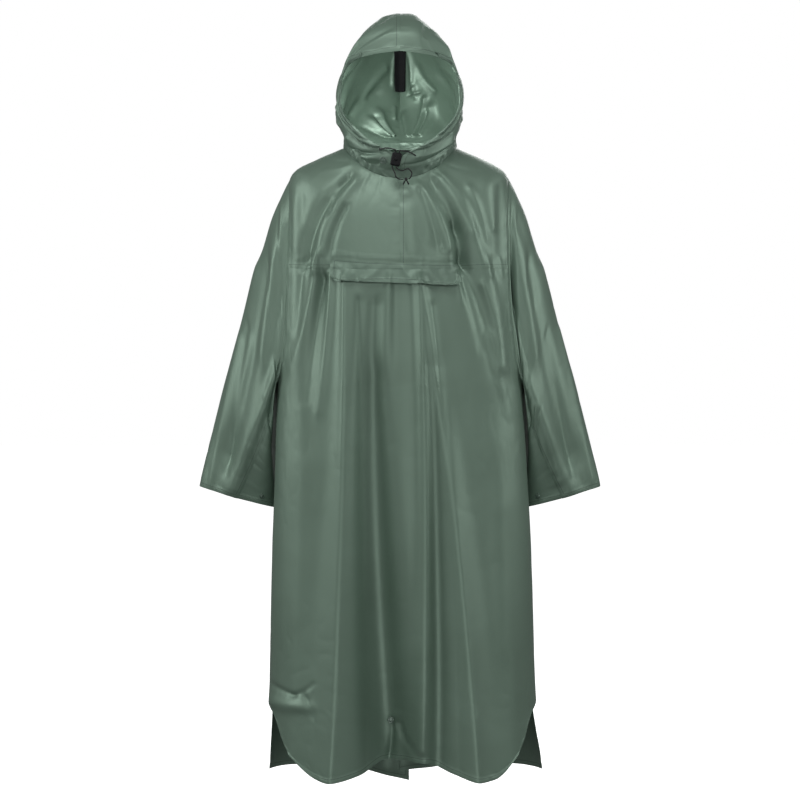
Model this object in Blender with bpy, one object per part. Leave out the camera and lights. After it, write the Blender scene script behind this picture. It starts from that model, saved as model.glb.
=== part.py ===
"""Hooded rain poncho with sleeves, as it hangs filled out with no wearer.

Metres, +Z up. The origin lies between the shoulders, level with the neck, where a wearer's shoulders
hold the garment. The front faces -Y and the wearer's left side is +X. Every cloth piece is a patch of
one of three surfaces (torso, sleeve, hood) that are worked out from the tables below, given a wall.
"""
import math
from collections import namedtuple

import bmesh
import bpy
import numpy as np
from mathutils import Matrix, Vector
from mathutils.bvhtree import BVHTree

# ---------------------------------------------------------------- driving dimensions
WALL = 0.0014                # cloth wall, with its coating and seam allowances
SEAM_GAP = 0.0003            # clear width of every seam
SQUARENESS = 0.85            # below 1 flattens the front of the torso's rings
TORSO_RADIUS = 0.15          # the rings' smallest radius, which turns a seam's gap into an angle
SLEEVE_RADIUS = 0.08         # the same of the sleeves
NECK_RADIUS = 0.10           # and of the neckband
NECK_DROP = 0.048            # neck seam at the centre front, below the origin
TIP_DROP = 0.120             # torso level whose side is the shoulder tip
CHEST_DROP = 0.228           # seam between the yokes and the front body
UNDERARM_DROP = 0.462        # foot of the armhole
VENT_DROP = 1.000            # top of the centre back vent
VENT_LAP = 0.030             # how far the right back panel laps over the left one
VENT_LIFT = 0.0060           # how far the lapping edge stands outside
VENT_UNDER_RISE = 0.020      # the left back panel's hem is this much higher at the vent
ARMHOLE_GAP = 0.0012         # clear width of the armhole seams, whose two sides bend
EDGE_BLEND = 0.02            # width over which a wall turns to the direction it shares at a seam

LEFT, RIGHT = 1.0, -1.0
NAMES = {LEFT: "left", RIGHT: "right"}

# One ring of the torso: drop is the centre front's depth below the origin. The ring is widest at
# wide_y. open_front and open_back are the angles (degrees from the front) where the side is cut.
Ring = namedtuple("Ring", "drop half_left half_right wide_y front_y back_y side_z back_z "
                          "open_front open_back")
TORSO = (
    Ring(0.048, 0.112, 0.113, -0.006, -0.112, 0.086, 0.021, 0.032, 90, 90),
    Ring(0.084, 0.164, 0.165, -0.002, -0.128, 0.116, -0.001, -0.001, 90, 90),
    Ring(0.120, 0.211, 0.214, 0.002, -0.139, 0.134, -0.030, -0.040, 90, 90),
    Ring(0.152, 0.222, 0.227, 0.004, -0.146, 0.142, -0.076, -0.087, 73, 107),
    Ring(0.182, 0.229, 0.236, 0.003, -0.151, 0.147, -0.130, -0.138, 66, 113),
    Ring(0.228, 0.232, 0.240, -0.001, -0.154, 0.150, -0.220, -0.224, 65, 114),
    Ring(0.300, 0.235, 0.241, -0.010, -0.157, 0.151, -0.300, -0.300, 66, 114),
    Ring(0.380, 0.238, 0.241, -0.026, -0.159, 0.152, -0.380, -0.380, 69, 111),
    Ring(0.435, 0.240, 0.241, -0.038, -0.160, 0.152, -0.435, -0.435, 78, 107),
    Ring(0.462, 0.241, 0.242, -0.042, -0.160, 0.152, -0.462, -0.462, 103, 103),
    Ring(0.600, 0.249, 0.246, -0.046, -0.163, 0.153, -0.600, -0.600, 103, 103),
    Ring(0.800, 0.260, 0.253, -0.038, -0.168, 0.155, -0.800, -0.800, 103, 103),
    Ring(1.055, 0.268, 0.259, -0.028, -0.176, 0.160, -1.055, -1.055, 103, 103),
    Ring(1.090, 0.271, 0.261, -0.026, -0.177, 0.161, -1.090, -1.090, 70, 102),
    Ring(1.140, 0.278, 0.263, -0.024, -0.178, 0.163, -1.140, -1.140, 56, 101),
    Ring(1.200, 0.288, 0.266, -0.022, -0.179, 0.165, -1.200, -1.200, 41, 101),
    Ring(1.300, 0.292, 0.268, -0.020, -0.180, 0.168, -1.300, -1.300, 35, 101),
)

# Levels of the torso pieces' rows. The last five of the body match the gusset's columns at the armhole.
YOKE_LEVELS = (0.048, 0.066, 0.084, 0.102, 0.120, 0.127, 0.138, 0.155, 0.180, 0.204, 0.228)
BODY_LEVELS = (0.228, 0.262, 0.300, 0.342, 0.380, 0.410, 0.4328, 0.4453, 0.4545, 0.4601, 0.462)

FRONT_COLUMNS = 29           # columns of the front body, which the yokes' columns match
HEM_ROWS = 11                # rows from the underarm to the hem

# Lower edges. On the front, across runs from -1 at the right side edge to +1 at the left one. On
# the back it runs from 0 at the side edge to 1 at the centre back.
Hem = namedtuple("Hem", "across drop")
FRONT_HEM = (
    Hem(-1.00, 1.168), Hem(-0.92, 1.190), Hem(-0.82, 1.202), Hem(-0.62, 1.210), Hem(-0.34, 1.200),
    Hem(-0.10, 1.178), Hem(0.14, 1.176), Hem(0.40, 1.194), Hem(0.66, 1.208), Hem(0.82, 1.205),
    Hem(0.92, 1.194), Hem(1.00, 1.166),
)
BACK_HEM = (Hem(0.00, 1.220), Hem(0.25, 1.222), Hem(0.60, 1.238), Hem(1.00, 1.272))

# Folds: ridges (depth above 0) and valleys (below 0), from start to end. A positive bow swings a
# fold that falls to the +x side in its middle.
Fold = namedtuple("Fold", "x0 z0 x1 z1 bow width0 width1 depth0 depth1")
FRONT_FOLDS = (
    # the two deep lobes below the chest and the hollow between them
    Fold(-0.100, -0.250, -0.128, -1.240, 0.006, 0.016, 0.050, 0.006, 0.030),
    Fold(-0.052, -0.300, -0.012, -1.240, -0.020, 0.016, 0.062, -0.010, -0.056),
    Fold(0.045, -0.250, 0.140, -1.240, 0.010, 0.016, 0.050, 0.004, 0.034),
    Fold(0.034, -0.250, 0.040, -1.240, 0.012, 0.010, 0.018, 0.008, 0.012),
    Fold(0.066, -0.420, 0.082, -1.240, 0.000, 0.018, 0.024, -0.006, -0.020),
    # folds falling from the flap's corners and the armholes
    Fold(-0.148, -0.250, -0.182, -0.560, -0.004, 0.012, 0.020, -0.008, -0.002),
    Fold(-0.160, -0.205, -0.208, -0.430, 0.008, 0.010, 0.016, 0.007, 0.002),
    Fold(0.050, -0.050, 0.120, -0.215, 0.012, 0.010, 0.014, -0.004, -0.010),
    Fold(0.120, -0.215, 0.186, -0.420, 0.010, 0.014, 0.014, -0.010, -0.003),
    Fold(0.078, -0.055, 0.196, -0.410, 0.028, 0.012, 0.015, 0.006, 0.007),
    Fold(-0.104, -0.050, -0.184, -0.210, -0.020, 0.010, 0.014, -0.008, -0.009),
    Fold(-0.088, -0.055, -0.152, -0.205, -0.012, 0.010, 0.012, 0.006, 0.006),
    Fold(0.028, -0.070, 0.090, -0.190, 0.010, 0.012, 0.014, 0.005, 0.005),
    Fold(-0.190, -0.800, -0.200, -1.200, 0.000, 0.030, 0.030, 0.002, 0.010),
    Fold(0.195, -0.700, 0.205, -1.200, 0.000, 0.030, 0.034, 0.003, 0.012),
)
BACK_FOLDS = (
    Fold(-0.020, -0.060, -0.110, -1.240, 0.010, 0.020, 0.050, 0.003, 0.030),
    Fold(0.050, -0.090, 0.070, -1.240, -0.010, 0.020, 0.046, -0.003, -0.026),
    Fold(0.120, -0.120, 0.165, -1.240, 0.006, 0.016, 0.040, 0.004, 0.024),
    Fold(-0.150, -0.150, -0.195, -1.240, -0.010, 0.016, 0.034, -0.004, -0.018),
    Fold(-0.060, -0.200, -0.030, -1.240, -0.008, 0.020, 0.030, -0.003, -0.014),
    Fold(0.000, -0.045, 0.060, -0.300, -0.010, 0.020, 0.030, 0.004, 0.002),
    Fold(0.170, -0.060, 0.120, -0.260, -0.006, 0.012, 0.018, 0.006, 0.002),
    Fold(-0.165, -0.060, -0.110, -0.280, 0.006, 0.012, 0.018, 0.006, 0.002),
)

# Sleeve: the cuff is an ellipse that tilts down towards the body.
CUFF_CENTRE = Vector((0.3205, 0.046, -0.676))
CUFF_HALF = Vector((0.0790, 0.0, 0.022))
CUFF_DEPTH = 0.060
GUSSET_TOP, GUSSET_CUFF = 146.0, 88.0    # degrees round the sleeve where the gusset seam starts and ends
Swell = namedtuple("Swell", "along outer depth inner")
SLEEVE_SWELL = (  # how far the sleeve stands outside the straight line from armhole to cuff
    Swell(0.00, 0.0000, 0.000, 0.000),
    Swell(0.05, 0.0070, 0.004, 0.006),
    Swell(0.15, 0.0145, 0.010, 0.009),
    Swell(0.30, 0.0145, 0.017, 0.010),
    Swell(0.50, 0.0090, 0.019, 0.010),
    Swell(0.66, 0.0075, 0.016, 0.008),
    Swell(0.81, 0.0040, 0.009, 0.004),
    Swell(1.00, 0.0000, 0.000, 0.000),
)
SLEEVE_ROUND, SLEEVE_LONG = 0.50, 0.66   # mean girth and length of the sleeve's own sheet
SLEEVE_ROWS = 14                         # rows of the sleeve and its gusset, which match at their seams
# Sleeve folds, in metres on that sheet: x is round it from the outer line (front positive), z along it.
SLEEVE_FOLDS = (
    Fold(0.060, 0.140, 0.078, 0.560, -0.010, 0.016, 0.020, -0.006, -0.010),
    Fold(0.020, 0.200, 0.028, 0.640, 0.004, 0.018, 0.022, 0.006, 0.009),
    Fold(0.150, 0.180, 0.108, 0.640, 0.006, 0.014, 0.020, 0.007, 0.009),
    Fold(0.185, 0.030, 0.170, 0.300, 0.004, 0.012, 0.014, -0.006, -0.006),
    Fold(-0.070, 0.120, -0.095, 0.600, 0.010, 0.018, 0.024, -0.006, -0.010),
    Fold(-0.120, 0.160, -0.150, 0.640, -0.006, 0.016, 0.022, 0.006, 0.010),
    Fold(-0.030, 0.180, -0.045, 0.640, 0.004, 0.016, 0.020, 0.005, 0.008),
)

# Hood: the face opening's edge, the crown seam and the back seam, each by shares of its length.
Knot = namedtuple("Knot", "share x y z")
FACE_EDGE = (
    Knot(0.00, 0.000, -0.1185, -0.0340), Knot(0.07, 0.001, -0.1270, -0.0200),
    Knot(0.12, 0.006, -0.1300, -0.0080), Knot(0.16, 0.018, -0.1295, 0.0010),
    Knot(0.21, 0.035, -0.1270, 0.0090), Knot(0.28, 0.057, -0.1230, 0.0220),
    Knot(0.36, 0.078, -0.1180, 0.0400), Knot(0.44, 0.098, -0.1120, 0.0600),
    Knot(0.51, 0.110, -0.1070, 0.0790), Knot(0.58, 0.1155, -0.1035, 0.1010),
    Knot(0.66, 0.1145, -0.1030, 0.1250), Knot(0.75, 0.1100, -0.1065, 0.1500),
    Knot(0.82, 0.1000, -0.1125, 0.1700), Knot(0.88, 0.0770, -0.1220, 0.1830),
    Knot(0.94, 0.0390, -0.1310, 0.1905), Knot(1.00, 0.000, -0.1350, 0.1945),
)
BACK_SEAM = (
    Knot(0.00, 0.0, 0.092, 0.046), Knot(0.22, 0.0, 0.126, 0.078), Knot(0.48, 0.0, 0.152, 0.122),
    Knot(0.74, 0.0, 0.160, 0.172), Knot(1.00, 0.0, 0.146, 0.222),
)
CROWN_SEAM = (
    Knot(0.00, 0.0, -0.135, 0.1945), Knot(0.12, 0.0, -0.128, 0.2280), Knot(0.26, 0.0, -0.098, 0.2600),
    Knot(0.48, 0.0, -0.030, 0.2850), Knot(0.70, 0.0, 0.050, 0.2820), Knot(0.87, 0.0, 0.112, 0.2570),
    Knot(1.00, 0.0, 0.146, 0.2220),
)
COLLAR = Ring(0.0340, 0.1125, 0.1125, -0.006, -0.1185, 0.092, 0.033, 0.046, 90, 90)
HOOD_PUFF = 0.003                        # how far the middle of each half swells outwards
HOOD_SAG = 0.010                         # more of it below the middle and less above
HOOD_NAPE, HOOD_NAPE_PLACE = 0.026, 0.74  # how far its back corner swells, and where
HOOD_DEEP, HOOD_TALL = 0.42, 0.34        # mean size of a half's own sheet
HOOD_FOLDS = (  # on that sheet: x back from the face edge, z up from the neck
    Fold(0.016, 0.030, 0.120, 0.022, 0.006, 0.014, 0.020, 0.005, 0.005),
    Fold(0.020, 0.062, 0.130, 0.062, -0.004, 0.014, 0.020, -0.004, -0.004),
    Fold(0.024, 0.090, 0.120, 0.104, 0.004, 0.014, 0.020, 0.004, 0.004),
    Fold(0.220, 0.020, 0.300, 0.200, 0.020, 0.022, 0.028, -0.007, -0.004),
    Fold(0.280, 0.020, 0.360, 0.170, -0.010, 0.020, 0.026, 0.007, 0.003),
    Fold(0.030, 0.270, 0.130, 0.310, 0.010, 0.018, 0.020, 0.004, 0.002),
)
HOOD_ROWS, HOOD_COLUMNS = 15, 15         # the neckband's upper edge follows these columns
CHANNEL_WIDE = 0.016                     # the drawcord's casing along the face opening
CHANNEL_FOOT, CHANNEL_TOP = 0.215, 0.885  # where it starts and ends on the face edge

# Neckband gathers, on the front of the band on both sides of the throat (degrees from the front).
GATHERS = 9
GATHER_FROM, GATHER_TO = 12.0, 62.0
GATHER_DEPTH = 0.0016

# Chest flap, across the front from its right end to its left end.
FLAP_RIGHT, FLAP_LEFT = -0.133, 0.116
FLAP_TOP_RIGHT, FLAP_TOP_LEFT = 0.2120, 0.2210
FLAP_TALL = 0.0390
FLAP_CORNER = 0.016
FLAP_STAND = 0.0013          # clear gap between it and the panels at its sewn top
FLAP_FLARE = 0.0075          # more of it at the free edge

# Fastenings
SNAP_RADIUS, SNAP_THICK = 0.0062, 0.0022
THROAT_SNAP_RADIUS = 0.0075
EYELET_RADIUS, EYELET_TUBE = 0.0026, 0.0009
LOCK_SIZE = Vector((0.019, 0.012, 0.026))
LOCK_CENTRE = Vector((-0.0075, -0.1480, -0.0165))
LOCK_TILT = math.radians(12.0)
LOCK_ROUNDING = 0.0032
LOCK_HOLES = 0.0045          # half the spacing of the lock's two cord holes
EYELET_PLACES = {LEFT: (0.046, 0.115), RIGHT: (0.050, 0.165)}    # back from the face edge and up
CORD_DIAMETER = 0.0024
CORD_STEP = 0.004            # spacing of a cord's points
Spot = namedtuple("Spot", "x y z")
END_ROUTES = {               # the drawcord's ends from the lock's foot to their knot
    LEFT: (Spot(0.0039, -0.1500, -0.0385), Spot(0.0154, -0.1520, -0.0350), Spot(0.0228, -0.1525, -0.0430),
           Spot(0.0200, -0.1520, -0.0520), Spot(0.0165, -0.1515, -0.0545)),
    RIGHT: (Spot(-0.0095, -0.1500, -0.0440), Spot(-0.0075, -0.1510, -0.0510), Spot(-0.0010, -0.1515, -0.0548),
            Spot(0.0062, -0.1515, -0.0552)),
}
KNOT_CENTRE = Vector((0.0116, -0.1515, -0.0550))
KNOT_RADIUS = 0.0033
TIP_LONG, TIP_SPREAD = 0.0075, 0.55      # each frayed tip's length, and how far it leans aside
STRAP_TOP, STRAP_FOOT = 0.50, 0.80       # its ends on the hood's centre line, brim to nape
BACK_START = 0.70                        # share of that line where the crown seam becomes the back seam
STRAP_WIDE, STRAP_NARROW, STRAP_THICK = 0.027, 0.019, 0.0016
STRAP_STAND = 0.0006         # clear gap between it and the hood at its sewn top
STRAP_HANG = 0.006           # further in at its loose foot
CUFF_SNAP_ROUND, CUFF_SNAP_ALONG = 124.0, 0.945
HEM_SNAP_X, HEM_SNAP_DROP = -0.0175, 1.098
THROAT_SNAP_PLACE = (0.060, 0.075)       # on the right hood half

# Colour, roughness, metallic
CLOTH = ((0.125, 0.175, 0.145, 1.0), 0.42, 0.0)
CLOTH_TRIM = ((0.105, 0.150, 0.122, 1.0), 0.46, 0.0)
BLACK_WEBBING = ((0.010, 0.010, 0.011, 1.0), 0.80, 0.0)
BLACK_PLASTIC = ((0.014, 0.014, 0.015, 1.0), 0.38, 0.0)
DARK_METAL = ((0.050, 0.055, 0.052, 1.0), 0.35, 1.0)


# ---------------------------------------------------------------- curves and tables
def read_curve(places, values, at):
    """A smooth curve through the points (places, values) that never overshoots them."""
    places, values, at = np.asarray(places, float), np.asarray(values, float), np.asarray(at, float)
    step = np.diff(places)
    slope = np.diff(values) / step
    tangent = np.zeros_like(values)
    tangent[0], tangent[-1] = slope[0], slope[-1]
    product = slope[1:] * slope[:-1]
    total = np.where(product > 0, slope[1:] + slope[:-1], 1.0)
    tangent[1:-1] = np.where(product > 0, 2.0 * product / total, 0.0)
    at = np.clip(at, places[0], places[-1])
    i = np.clip(np.searchsorted(places, at, side="right") - 1, 0, len(places) - 2)
    t = (at - places[i]) / step[i]
    rise = t * t * (3.0 - 2.0 * t)
    lead = t * (1.0 - t) ** 2 * step[i] * tangent[i]
    trail = t * t * (t - 1.0) * step[i] * tangent[i + 1]
    return (1.0 - rise) * values[i] + rise * values[i + 1] + lead + trail


def column(table, key, name, at):
    """One named column of a table, read at places of its key column."""
    return read_curve([getattr(row, key) for row in table], [getattr(row, name) for row in table], at)


def ease(x):
    """0 below 0, 1 above 1 and a smooth step between."""
    x = np.clip(x, 0.0, 1.0)
    return x * x * (3.0 - 2.0 * x)


def relief(folds, x, z):
    """Summed height of a table's folds at sheet places x, z."""
    height = np.zeros(np.broadcast(x, z).shape)
    for fold in folds:
        run_x, run_z = fold.x1 - fold.x0, fold.z1 - fold.z0
        length = math.hypot(run_x, run_z)
        along = ((x - fold.x0) * run_x + (z - fold.z0) * run_z) / length ** 2
        share = np.clip(along, 0.0, 1.0)
        across = ((z - fold.z0) * run_x - (x - fold.x0) * run_z) / length
        across = across - fold.bow * 4.0 * share * (1.0 - share)
        width = fold.width0 + (fold.width1 - fold.width0) * share
        depth = fold.depth0 + (fold.depth1 - fold.depth0) * share
        past = (along - share) * length
        height += depth * np.exp(-(across / width) ** 2 - (past / (1.5 * width)) ** 2)
    return height


def stack(x, y, z):
    """Three arrays as one array of points."""
    return np.stack(np.broadcast_arrays(x, y, z), axis=-1)


def unit(vectors):
    """Vectors brought to length 1."""
    return vectors / np.maximum(np.linalg.norm(vectors, axis=-1, keepdims=True), 1e-12)


# ---------------------------------------------------------------- torso
def half_width(angle, drop):
    """The torso ring's half width on the side that a signed angle is on."""
    left, right = column(TORSO, "drop", "half_left", drop), column(TORSO, "drop", "half_right", drop)
    return np.where(angle >= 0, left, right)


def torso_bare(angle, drop):
    """The torso without folds. The angle is 0 at the centre front and positive round the left side."""
    side = np.where(angle >= 0, 1.0, -1.0)
    wide = column(TORSO, "drop", "wide_y", drop)
    side_z = column(TORSO, "drop", "side_z", drop)
    facing, turned = np.cos(angle), side * np.sin(angle)
    front = facing >= 0
    front_y, back_y = column(TORSO, "drop", "front_y", drop), column(TORSO, "drop", "back_y", drop)
    reach = np.where(front, front_y, back_y) - wide
    rise = np.where(front, -drop, column(TORSO, "drop", "back_z", drop)) - side_z
    square = np.where(front, SQUARENESS, 1.0)
    x = side * half_width(angle, drop) * np.sign(turned) * np.abs(turned) ** square
    return stack(x, wide + reach * np.abs(facing) ** square, side_z + rise * facing ** 2)


def ring_out(angle, drop):
    """Level direction straight out of the torso's ring."""
    wide = column(TORSO, "drop", "wide_y", drop)
    deep = np.where(np.cos(angle) >= 0, wide - column(TORSO, "drop", "front_y", drop),
                    column(TORSO, "drop", "back_y", drop) - wide)
    return unit(stack(np.sin(angle) * deep, -np.cos(angle) * half_width(angle, drop), 0.0 * drop))


def side_cut(drop, name):
    """The angle where the side is cut: the armhole, or the side seam and its slit."""
    return np.radians(column(TORSO, "drop", name, drop))


def to_cut(angle, drop):
    """Distance round the ring from the side's cut edge."""
    cut = np.where(np.cos(angle) >= 0, side_cut(drop, "open_front"), side_cut(drop, "open_back"))
    return np.abs(np.abs(angle) - cut) * half_width(angle, drop)


def torso(angle, drop):
    """A point of the torso with its folds, which die out at the neck, the sides and the armholes."""
    bare = torso_bare(angle, drop)
    front = relief(FRONT_FOLDS, bare[..., 0], bare[..., 2]) * ease(np.cos(angle) / 0.30)
    back = relief(BACK_FOLDS, bare[..., 0], bare[..., 2]) * ease(-np.cos(angle) / 0.30)
    armhole_near = ease((UNDERARM_DROP + 0.03 - drop) / 0.03)
    at_armhole = 1.0 - armhole_near * (1.0 - ease(to_cut(angle, drop) / 0.03))
    at_neck = ease((drop - NECK_DROP) / 0.02)
    return bare + ring_out(angle, drop) * ((front + back) * at_armhole * at_neck)[..., None]


def angle_at(x, drop):
    """The signed angle of the torso's front at a place x across it."""
    share = np.clip(np.abs(x) / half_width(x, drop), 0.0, 1.0)
    return np.where(x >= 0, 1.0, -1.0) * np.arcsin(share ** (1.0 / SQUARENESS))


# ---------------------------------------------------------------- sleeve
def armhole(round_angle, side):
    """The armhole seam: 0 at the shoulder tip, pi at the underarm, front first."""
    share = (1.0 - np.cos(round_angle)) / 2.0
    drop = TIP_DROP + (UNDERARM_DROP - TIP_DROP) * share
    front = np.sin(round_angle) >= 0
    angle = np.where(front, side_cut(drop, "open_front"), side_cut(drop, "open_back"))
    return torso_bare(side * angle, drop) + stack(side * ARMHOLE_GAP, 0.0 * drop, 0.0 * drop)


def sleeve(round_angle, along, side):
    """A point of the sleeve: round_angle from its outer line (front positive), along 0 to 1 at the cuff."""
    outward = np.cos(round_angle)
    cuff = np.array(CUFF_CENTRE) + np.array(CUFF_HALF) * outward[..., None]
    cuff = (cuff - stack(0.0, CUFF_DEPTH * np.sin(round_angle), 0.0)) * np.array([side, 1.0, 1.0])
    share = along[..., None]
    base = armhole(round_angle, side) * (1.0 - share) + cuff * share
    swell_x = outward * np.where(outward > 0, column(SLEEVE_SWELL, "along", "outer", along),
                                 -column(SLEEVE_SWELL, "along", "inner", along))
    swell_y = -column(SLEEVE_SWELL, "along", "depth", along) * np.sin(round_angle)
    base = base + stack(side * swell_x, swell_y, 0.2 * swell_x)
    round_place = np.arctan2(np.sin(round_angle), outward) / (2.0 * np.pi) * SLEEVE_ROUND
    height = relief(SLEEVE_FOLDS, round_place, along * SLEEVE_LONG) * ease(along / 0.06)
    return base + sleeve_out(round_angle, side) * height[..., None]


def sleeve_out(round_angle, side):
    """The direction out of the sleeve where it has no folds."""
    return unit(stack(side * np.cos(round_angle), -np.sin(round_angle), 0.25 * np.cos(round_angle)))


def gusset_angle(along):
    """Where the gusset seam runs round the sleeve."""
    return np.radians(GUSSET_TOP + (GUSSET_CUFF - GUSSET_TOP) * along)


# ---------------------------------------------------------------- hood
def read_knots(knots, share, side):
    """A smooth curve through a table of points, on one side."""
    return stack(side * column(knots, "share", "x", share), column(knots, "share", "y", share),
                 column(knots, "share", "z", share))


def collar(angle):
    """The hood's lower edge, which is the top of the neckband, by the signed angle from the front."""
    facing, turned = np.cos(angle), np.sin(angle)
    reach = np.where(facing >= 0, COLLAR.front_y, COLLAR.back_y) - COLLAR.wide_y
    rise = np.where(facing >= 0, -COLLAR.drop, COLLAR.back_z) - COLLAR.side_z
    square = np.where(facing >= 0, SQUARENESS, 1.0)
    x = COLLAR.half_left * np.sign(turned) * np.abs(turned) ** square
    return stack(x, COLLAR.wide_y + reach * np.abs(facing) ** square, COLLAR.side_z + rise * facing ** 2)


def hood(back, up, side):
    """A point of one hood half: back is 0 at the face edge, up is 0 at the neck, both to 1."""
    b, u = back[..., None], up[..., None]
    none, full = np.zeros(1), np.ones(1)
    edges = collar(side * back * np.pi) * (1 - u) + read_knots(CROWN_SEAM, back, side) * u
    edges = edges + read_knots(FACE_EDGE, up, side) * (1 - b) + read_knots(BACK_SEAM, up, side) * b
    low = read_knots(FACE_EDGE, none, side) * (1 - b) + read_knots(BACK_SEAM, none, side) * b
    high = read_knots(FACE_EDGE, full, side) * (1 - b) + read_knots(BACK_SEAM, full, side) * b
    sheet = edges - low * (1 - u) - high * u
    swell = np.sin(np.pi * np.clip(back, 0, 1) ** 0.8)
    swell = swell * (HOOD_PUFF * np.sin(np.pi * up) + HOOD_SAG * np.sin(2.0 * np.pi * up))
    nape = np.exp(-((back - HOOD_NAPE_PLACE) / 0.17) ** 2) * np.sin(np.pi * np.clip(back, 0, 1))
    swell = swell + HOOD_NAPE * nape * np.sin(np.pi * np.clip(up, 0, 1)) ** 0.8
    out = unit(stack(side, 2.6 * np.maximum(back - 0.45, 0.0), 0.35 * ease(up) * np.sin(np.pi * back)))
    height = relief(HOOD_FOLDS, back * HOOD_DEEP, up * HOOD_TALL)
    height = height * ease(back / 0.04) * ease((1 - back) / 0.08) * ease(up / 0.05) * ease((1 - up) / 0.08)
    seam = stack(side * SEAM_GAP / 2, 0.0, 0.0)
    return sheet + out * (swell + height)[..., None] + seam


# ---------------------------------------------------------------- walls
def normals(surface, first, second, sign):
    """Unit normals of a surface of two parameters by small steps each way, times a sign."""
    step = 1e-3
    one = surface(first + step, second) - surface(first - step, second)
    two = surface(first, second + step) - surface(first, second - step)
    return unit(np.cross(one, two)) * sign


def turn_to(directions, shared, nearness):
    """Turn wall directions to the shared one where nearness is 1."""
    k = ease(nearness)[..., None]
    return unit(directions * (1.0 - k) + shared * k)


def grid_of(count_down, count_across):
    """Shares from 0 to 1 down the rows and across them, as two grids."""
    return np.meshgrid(np.linspace(0, 1, count_down), np.linspace(0, 1, count_across), indexing="ij")


def wall_between(name, outer, inner, finish):
    """A closed wall between two grids of points."""
    rows, columns = outer.shape[:2]
    bm = bmesh.new()
    for points in (outer, inner):
        grid = bmesh.ops.create_grid(bm, x_segments=columns - 1, y_segments=rows - 1, size=1.0)["verts"]
        for vertex, point in zip(grid, points.reshape(-1, 3)):
            vertex.co = point
    bmesh.ops.bridge_loops(bm, edges=[edge for edge in bm.edges if edge.is_boundary])
    return add_object(name, bm, finish)


def sheet(name, middle, out, finish):
    """A wall of the cloth's thickness round a grid of middle points with outward directions."""
    half = out * (WALL / 2.0)
    return wall_between(name, middle + half, middle - half, finish)


def add_object(name, bm, finish):
    """Turn a bmesh into a named object with its own material."""
    bmesh.ops.recalc_face_normals(bm, faces=bm.faces[:])
    mesh = bpy.data.meshes.new(name)
    bm.to_mesh(mesh)
    bm.free()
    mesh.shade_smooth()
    mesh.set_sharp_from_angle(angle=math.radians(50))
    return finish_object(name, mesh, finish)


def finish_object(name, data, finish):
    """Link an object and give it its own Principled material."""
    colour, roughness, metallic = finish
    material = bpy.data.materials.new(name)
    material.use_nodes = True
    shader = material.node_tree.nodes["Principled BSDF"]
    shader.inputs["Base Color"].default_value = colour
    shader.inputs["Roughness"].default_value = roughness
    shader.inputs["Metallic"].default_value = metallic
    data.materials.append(material)
    obj = bpy.data.objects.new(name, data)
    bpy.context.scene.collection.objects.link(obj)
    return obj


def faces_of(*names):
    """The faces of finished pieces, for others to be laid on."""
    bm = bmesh.new()
    for name in names:
        bm.from_mesh(bpy.data.objects[name].data)
    tree = BVHTree.FromBMesh(bm)
    bm.free()
    return tree


def laid_on(faces, points, out):
    """Points moved along their outward directions onto the pieces' faces."""
    landed = []
    for point, direction in zip(points.reshape(-1, 3), out.reshape(-1, 3)):
        hit = faces.ray_cast(Vector(point + direction * 0.03), Vector(-direction), 0.06)[0]
        landed.append(point + direction * WALL / 2.0 if hit is None else hit)
    return np.array(landed).reshape(points.shape)


# ---------------------------------------------------------------- torso pieces
def torso_sheet(name, angle, drop, finish, lift=0.0):
    """A wall on the torso between its named cuts, whose ends turn to the directions shared at seams."""
    out = normals(torso, angle, drop, -1.0)
    near_armhole = (1.0 - to_cut(angle, drop) / EDGE_BLEND) * (drop < UNDERARM_DROP + 0.01)
    round_cut = np.arccos(np.clip(1.0 - 2.0 * (drop - TIP_DROP) / (UNDERARM_DROP - TIP_DROP), -1.0, 1.0))
    level = -np.sin(round_cut) * np.where(np.cos(angle) >= 0, 1.0, -1.0)
    shared = unit(stack(0.4 * np.sign(angle), 0.9 * level, 0.9 * np.cos(round_cut)))
    out = turn_to(out, shared, np.where(drop > TIP_DROP - 0.005, near_armhole, 0.0))
    out = turn_to(out, neck_direction(angle), 1.0 - (drop - NECK_DROP) / EDGE_BLEND)
    level_out = unit(out * np.array([0.0, 1.0, 1.0]))
    out = turn_to(out, level_out, 1.0 - np.abs(torso_bare(angle, drop)[..., 0]) / EDGE_BLEND)
    at_chest = 1.0 - np.abs(drop - CHEST_DROP) / EDGE_BLEND - near_armhole
    out = turn_to(out, ring_out(angle, drop), at_chest)
    sheet(name, torso(angle, drop) + ring_out(angle, drop) * lift, out, finish)


def neck_direction(angle):
    """The direction that the neck edge's walls share."""
    return unit(stack(np.sin(angle), -np.cos(angle), 1.0))


def levels_to_hem(levels, hem, rows):
    """Levels down to the underarm, then rows that spread evenly to a hem of varying depth."""
    share = np.linspace(0.0, 1.0, rows)[1:, None]
    above = np.tile(np.array(levels)[:, None], (1, len(hem)))
    return np.vstack([above, levels[-1] + (hem - levels[-1]) * share])


def front_edge_angle(drop):
    """Where the front pieces end at the side, half a seam short of the cut."""
    return side_cut(drop, "open_front") - SEAM_GAP / 2.0 / TORSO_RADIUS


def front_yoke(side):
    """One yoke: from the centre front seam to the shoulder and armhole, down to the chest seam."""
    drop, across = np.meshgrid(YOKE_LEVELS, np.linspace(0, 1, (FRONT_COLUMNS + 1) // 2), indexing="ij")
    drop = np.minimum(drop, CHEST_DROP - SEAM_GAP / 2.0)
    centre = np.abs(angle_at(np.full_like(drop, SEAM_GAP / 2.0), drop))
    angle = centre + (front_edge_angle(drop) - centre) * across
    torso_sheet("front_yoke_" + NAMES[side], side * angle, drop, CLOTH)


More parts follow.
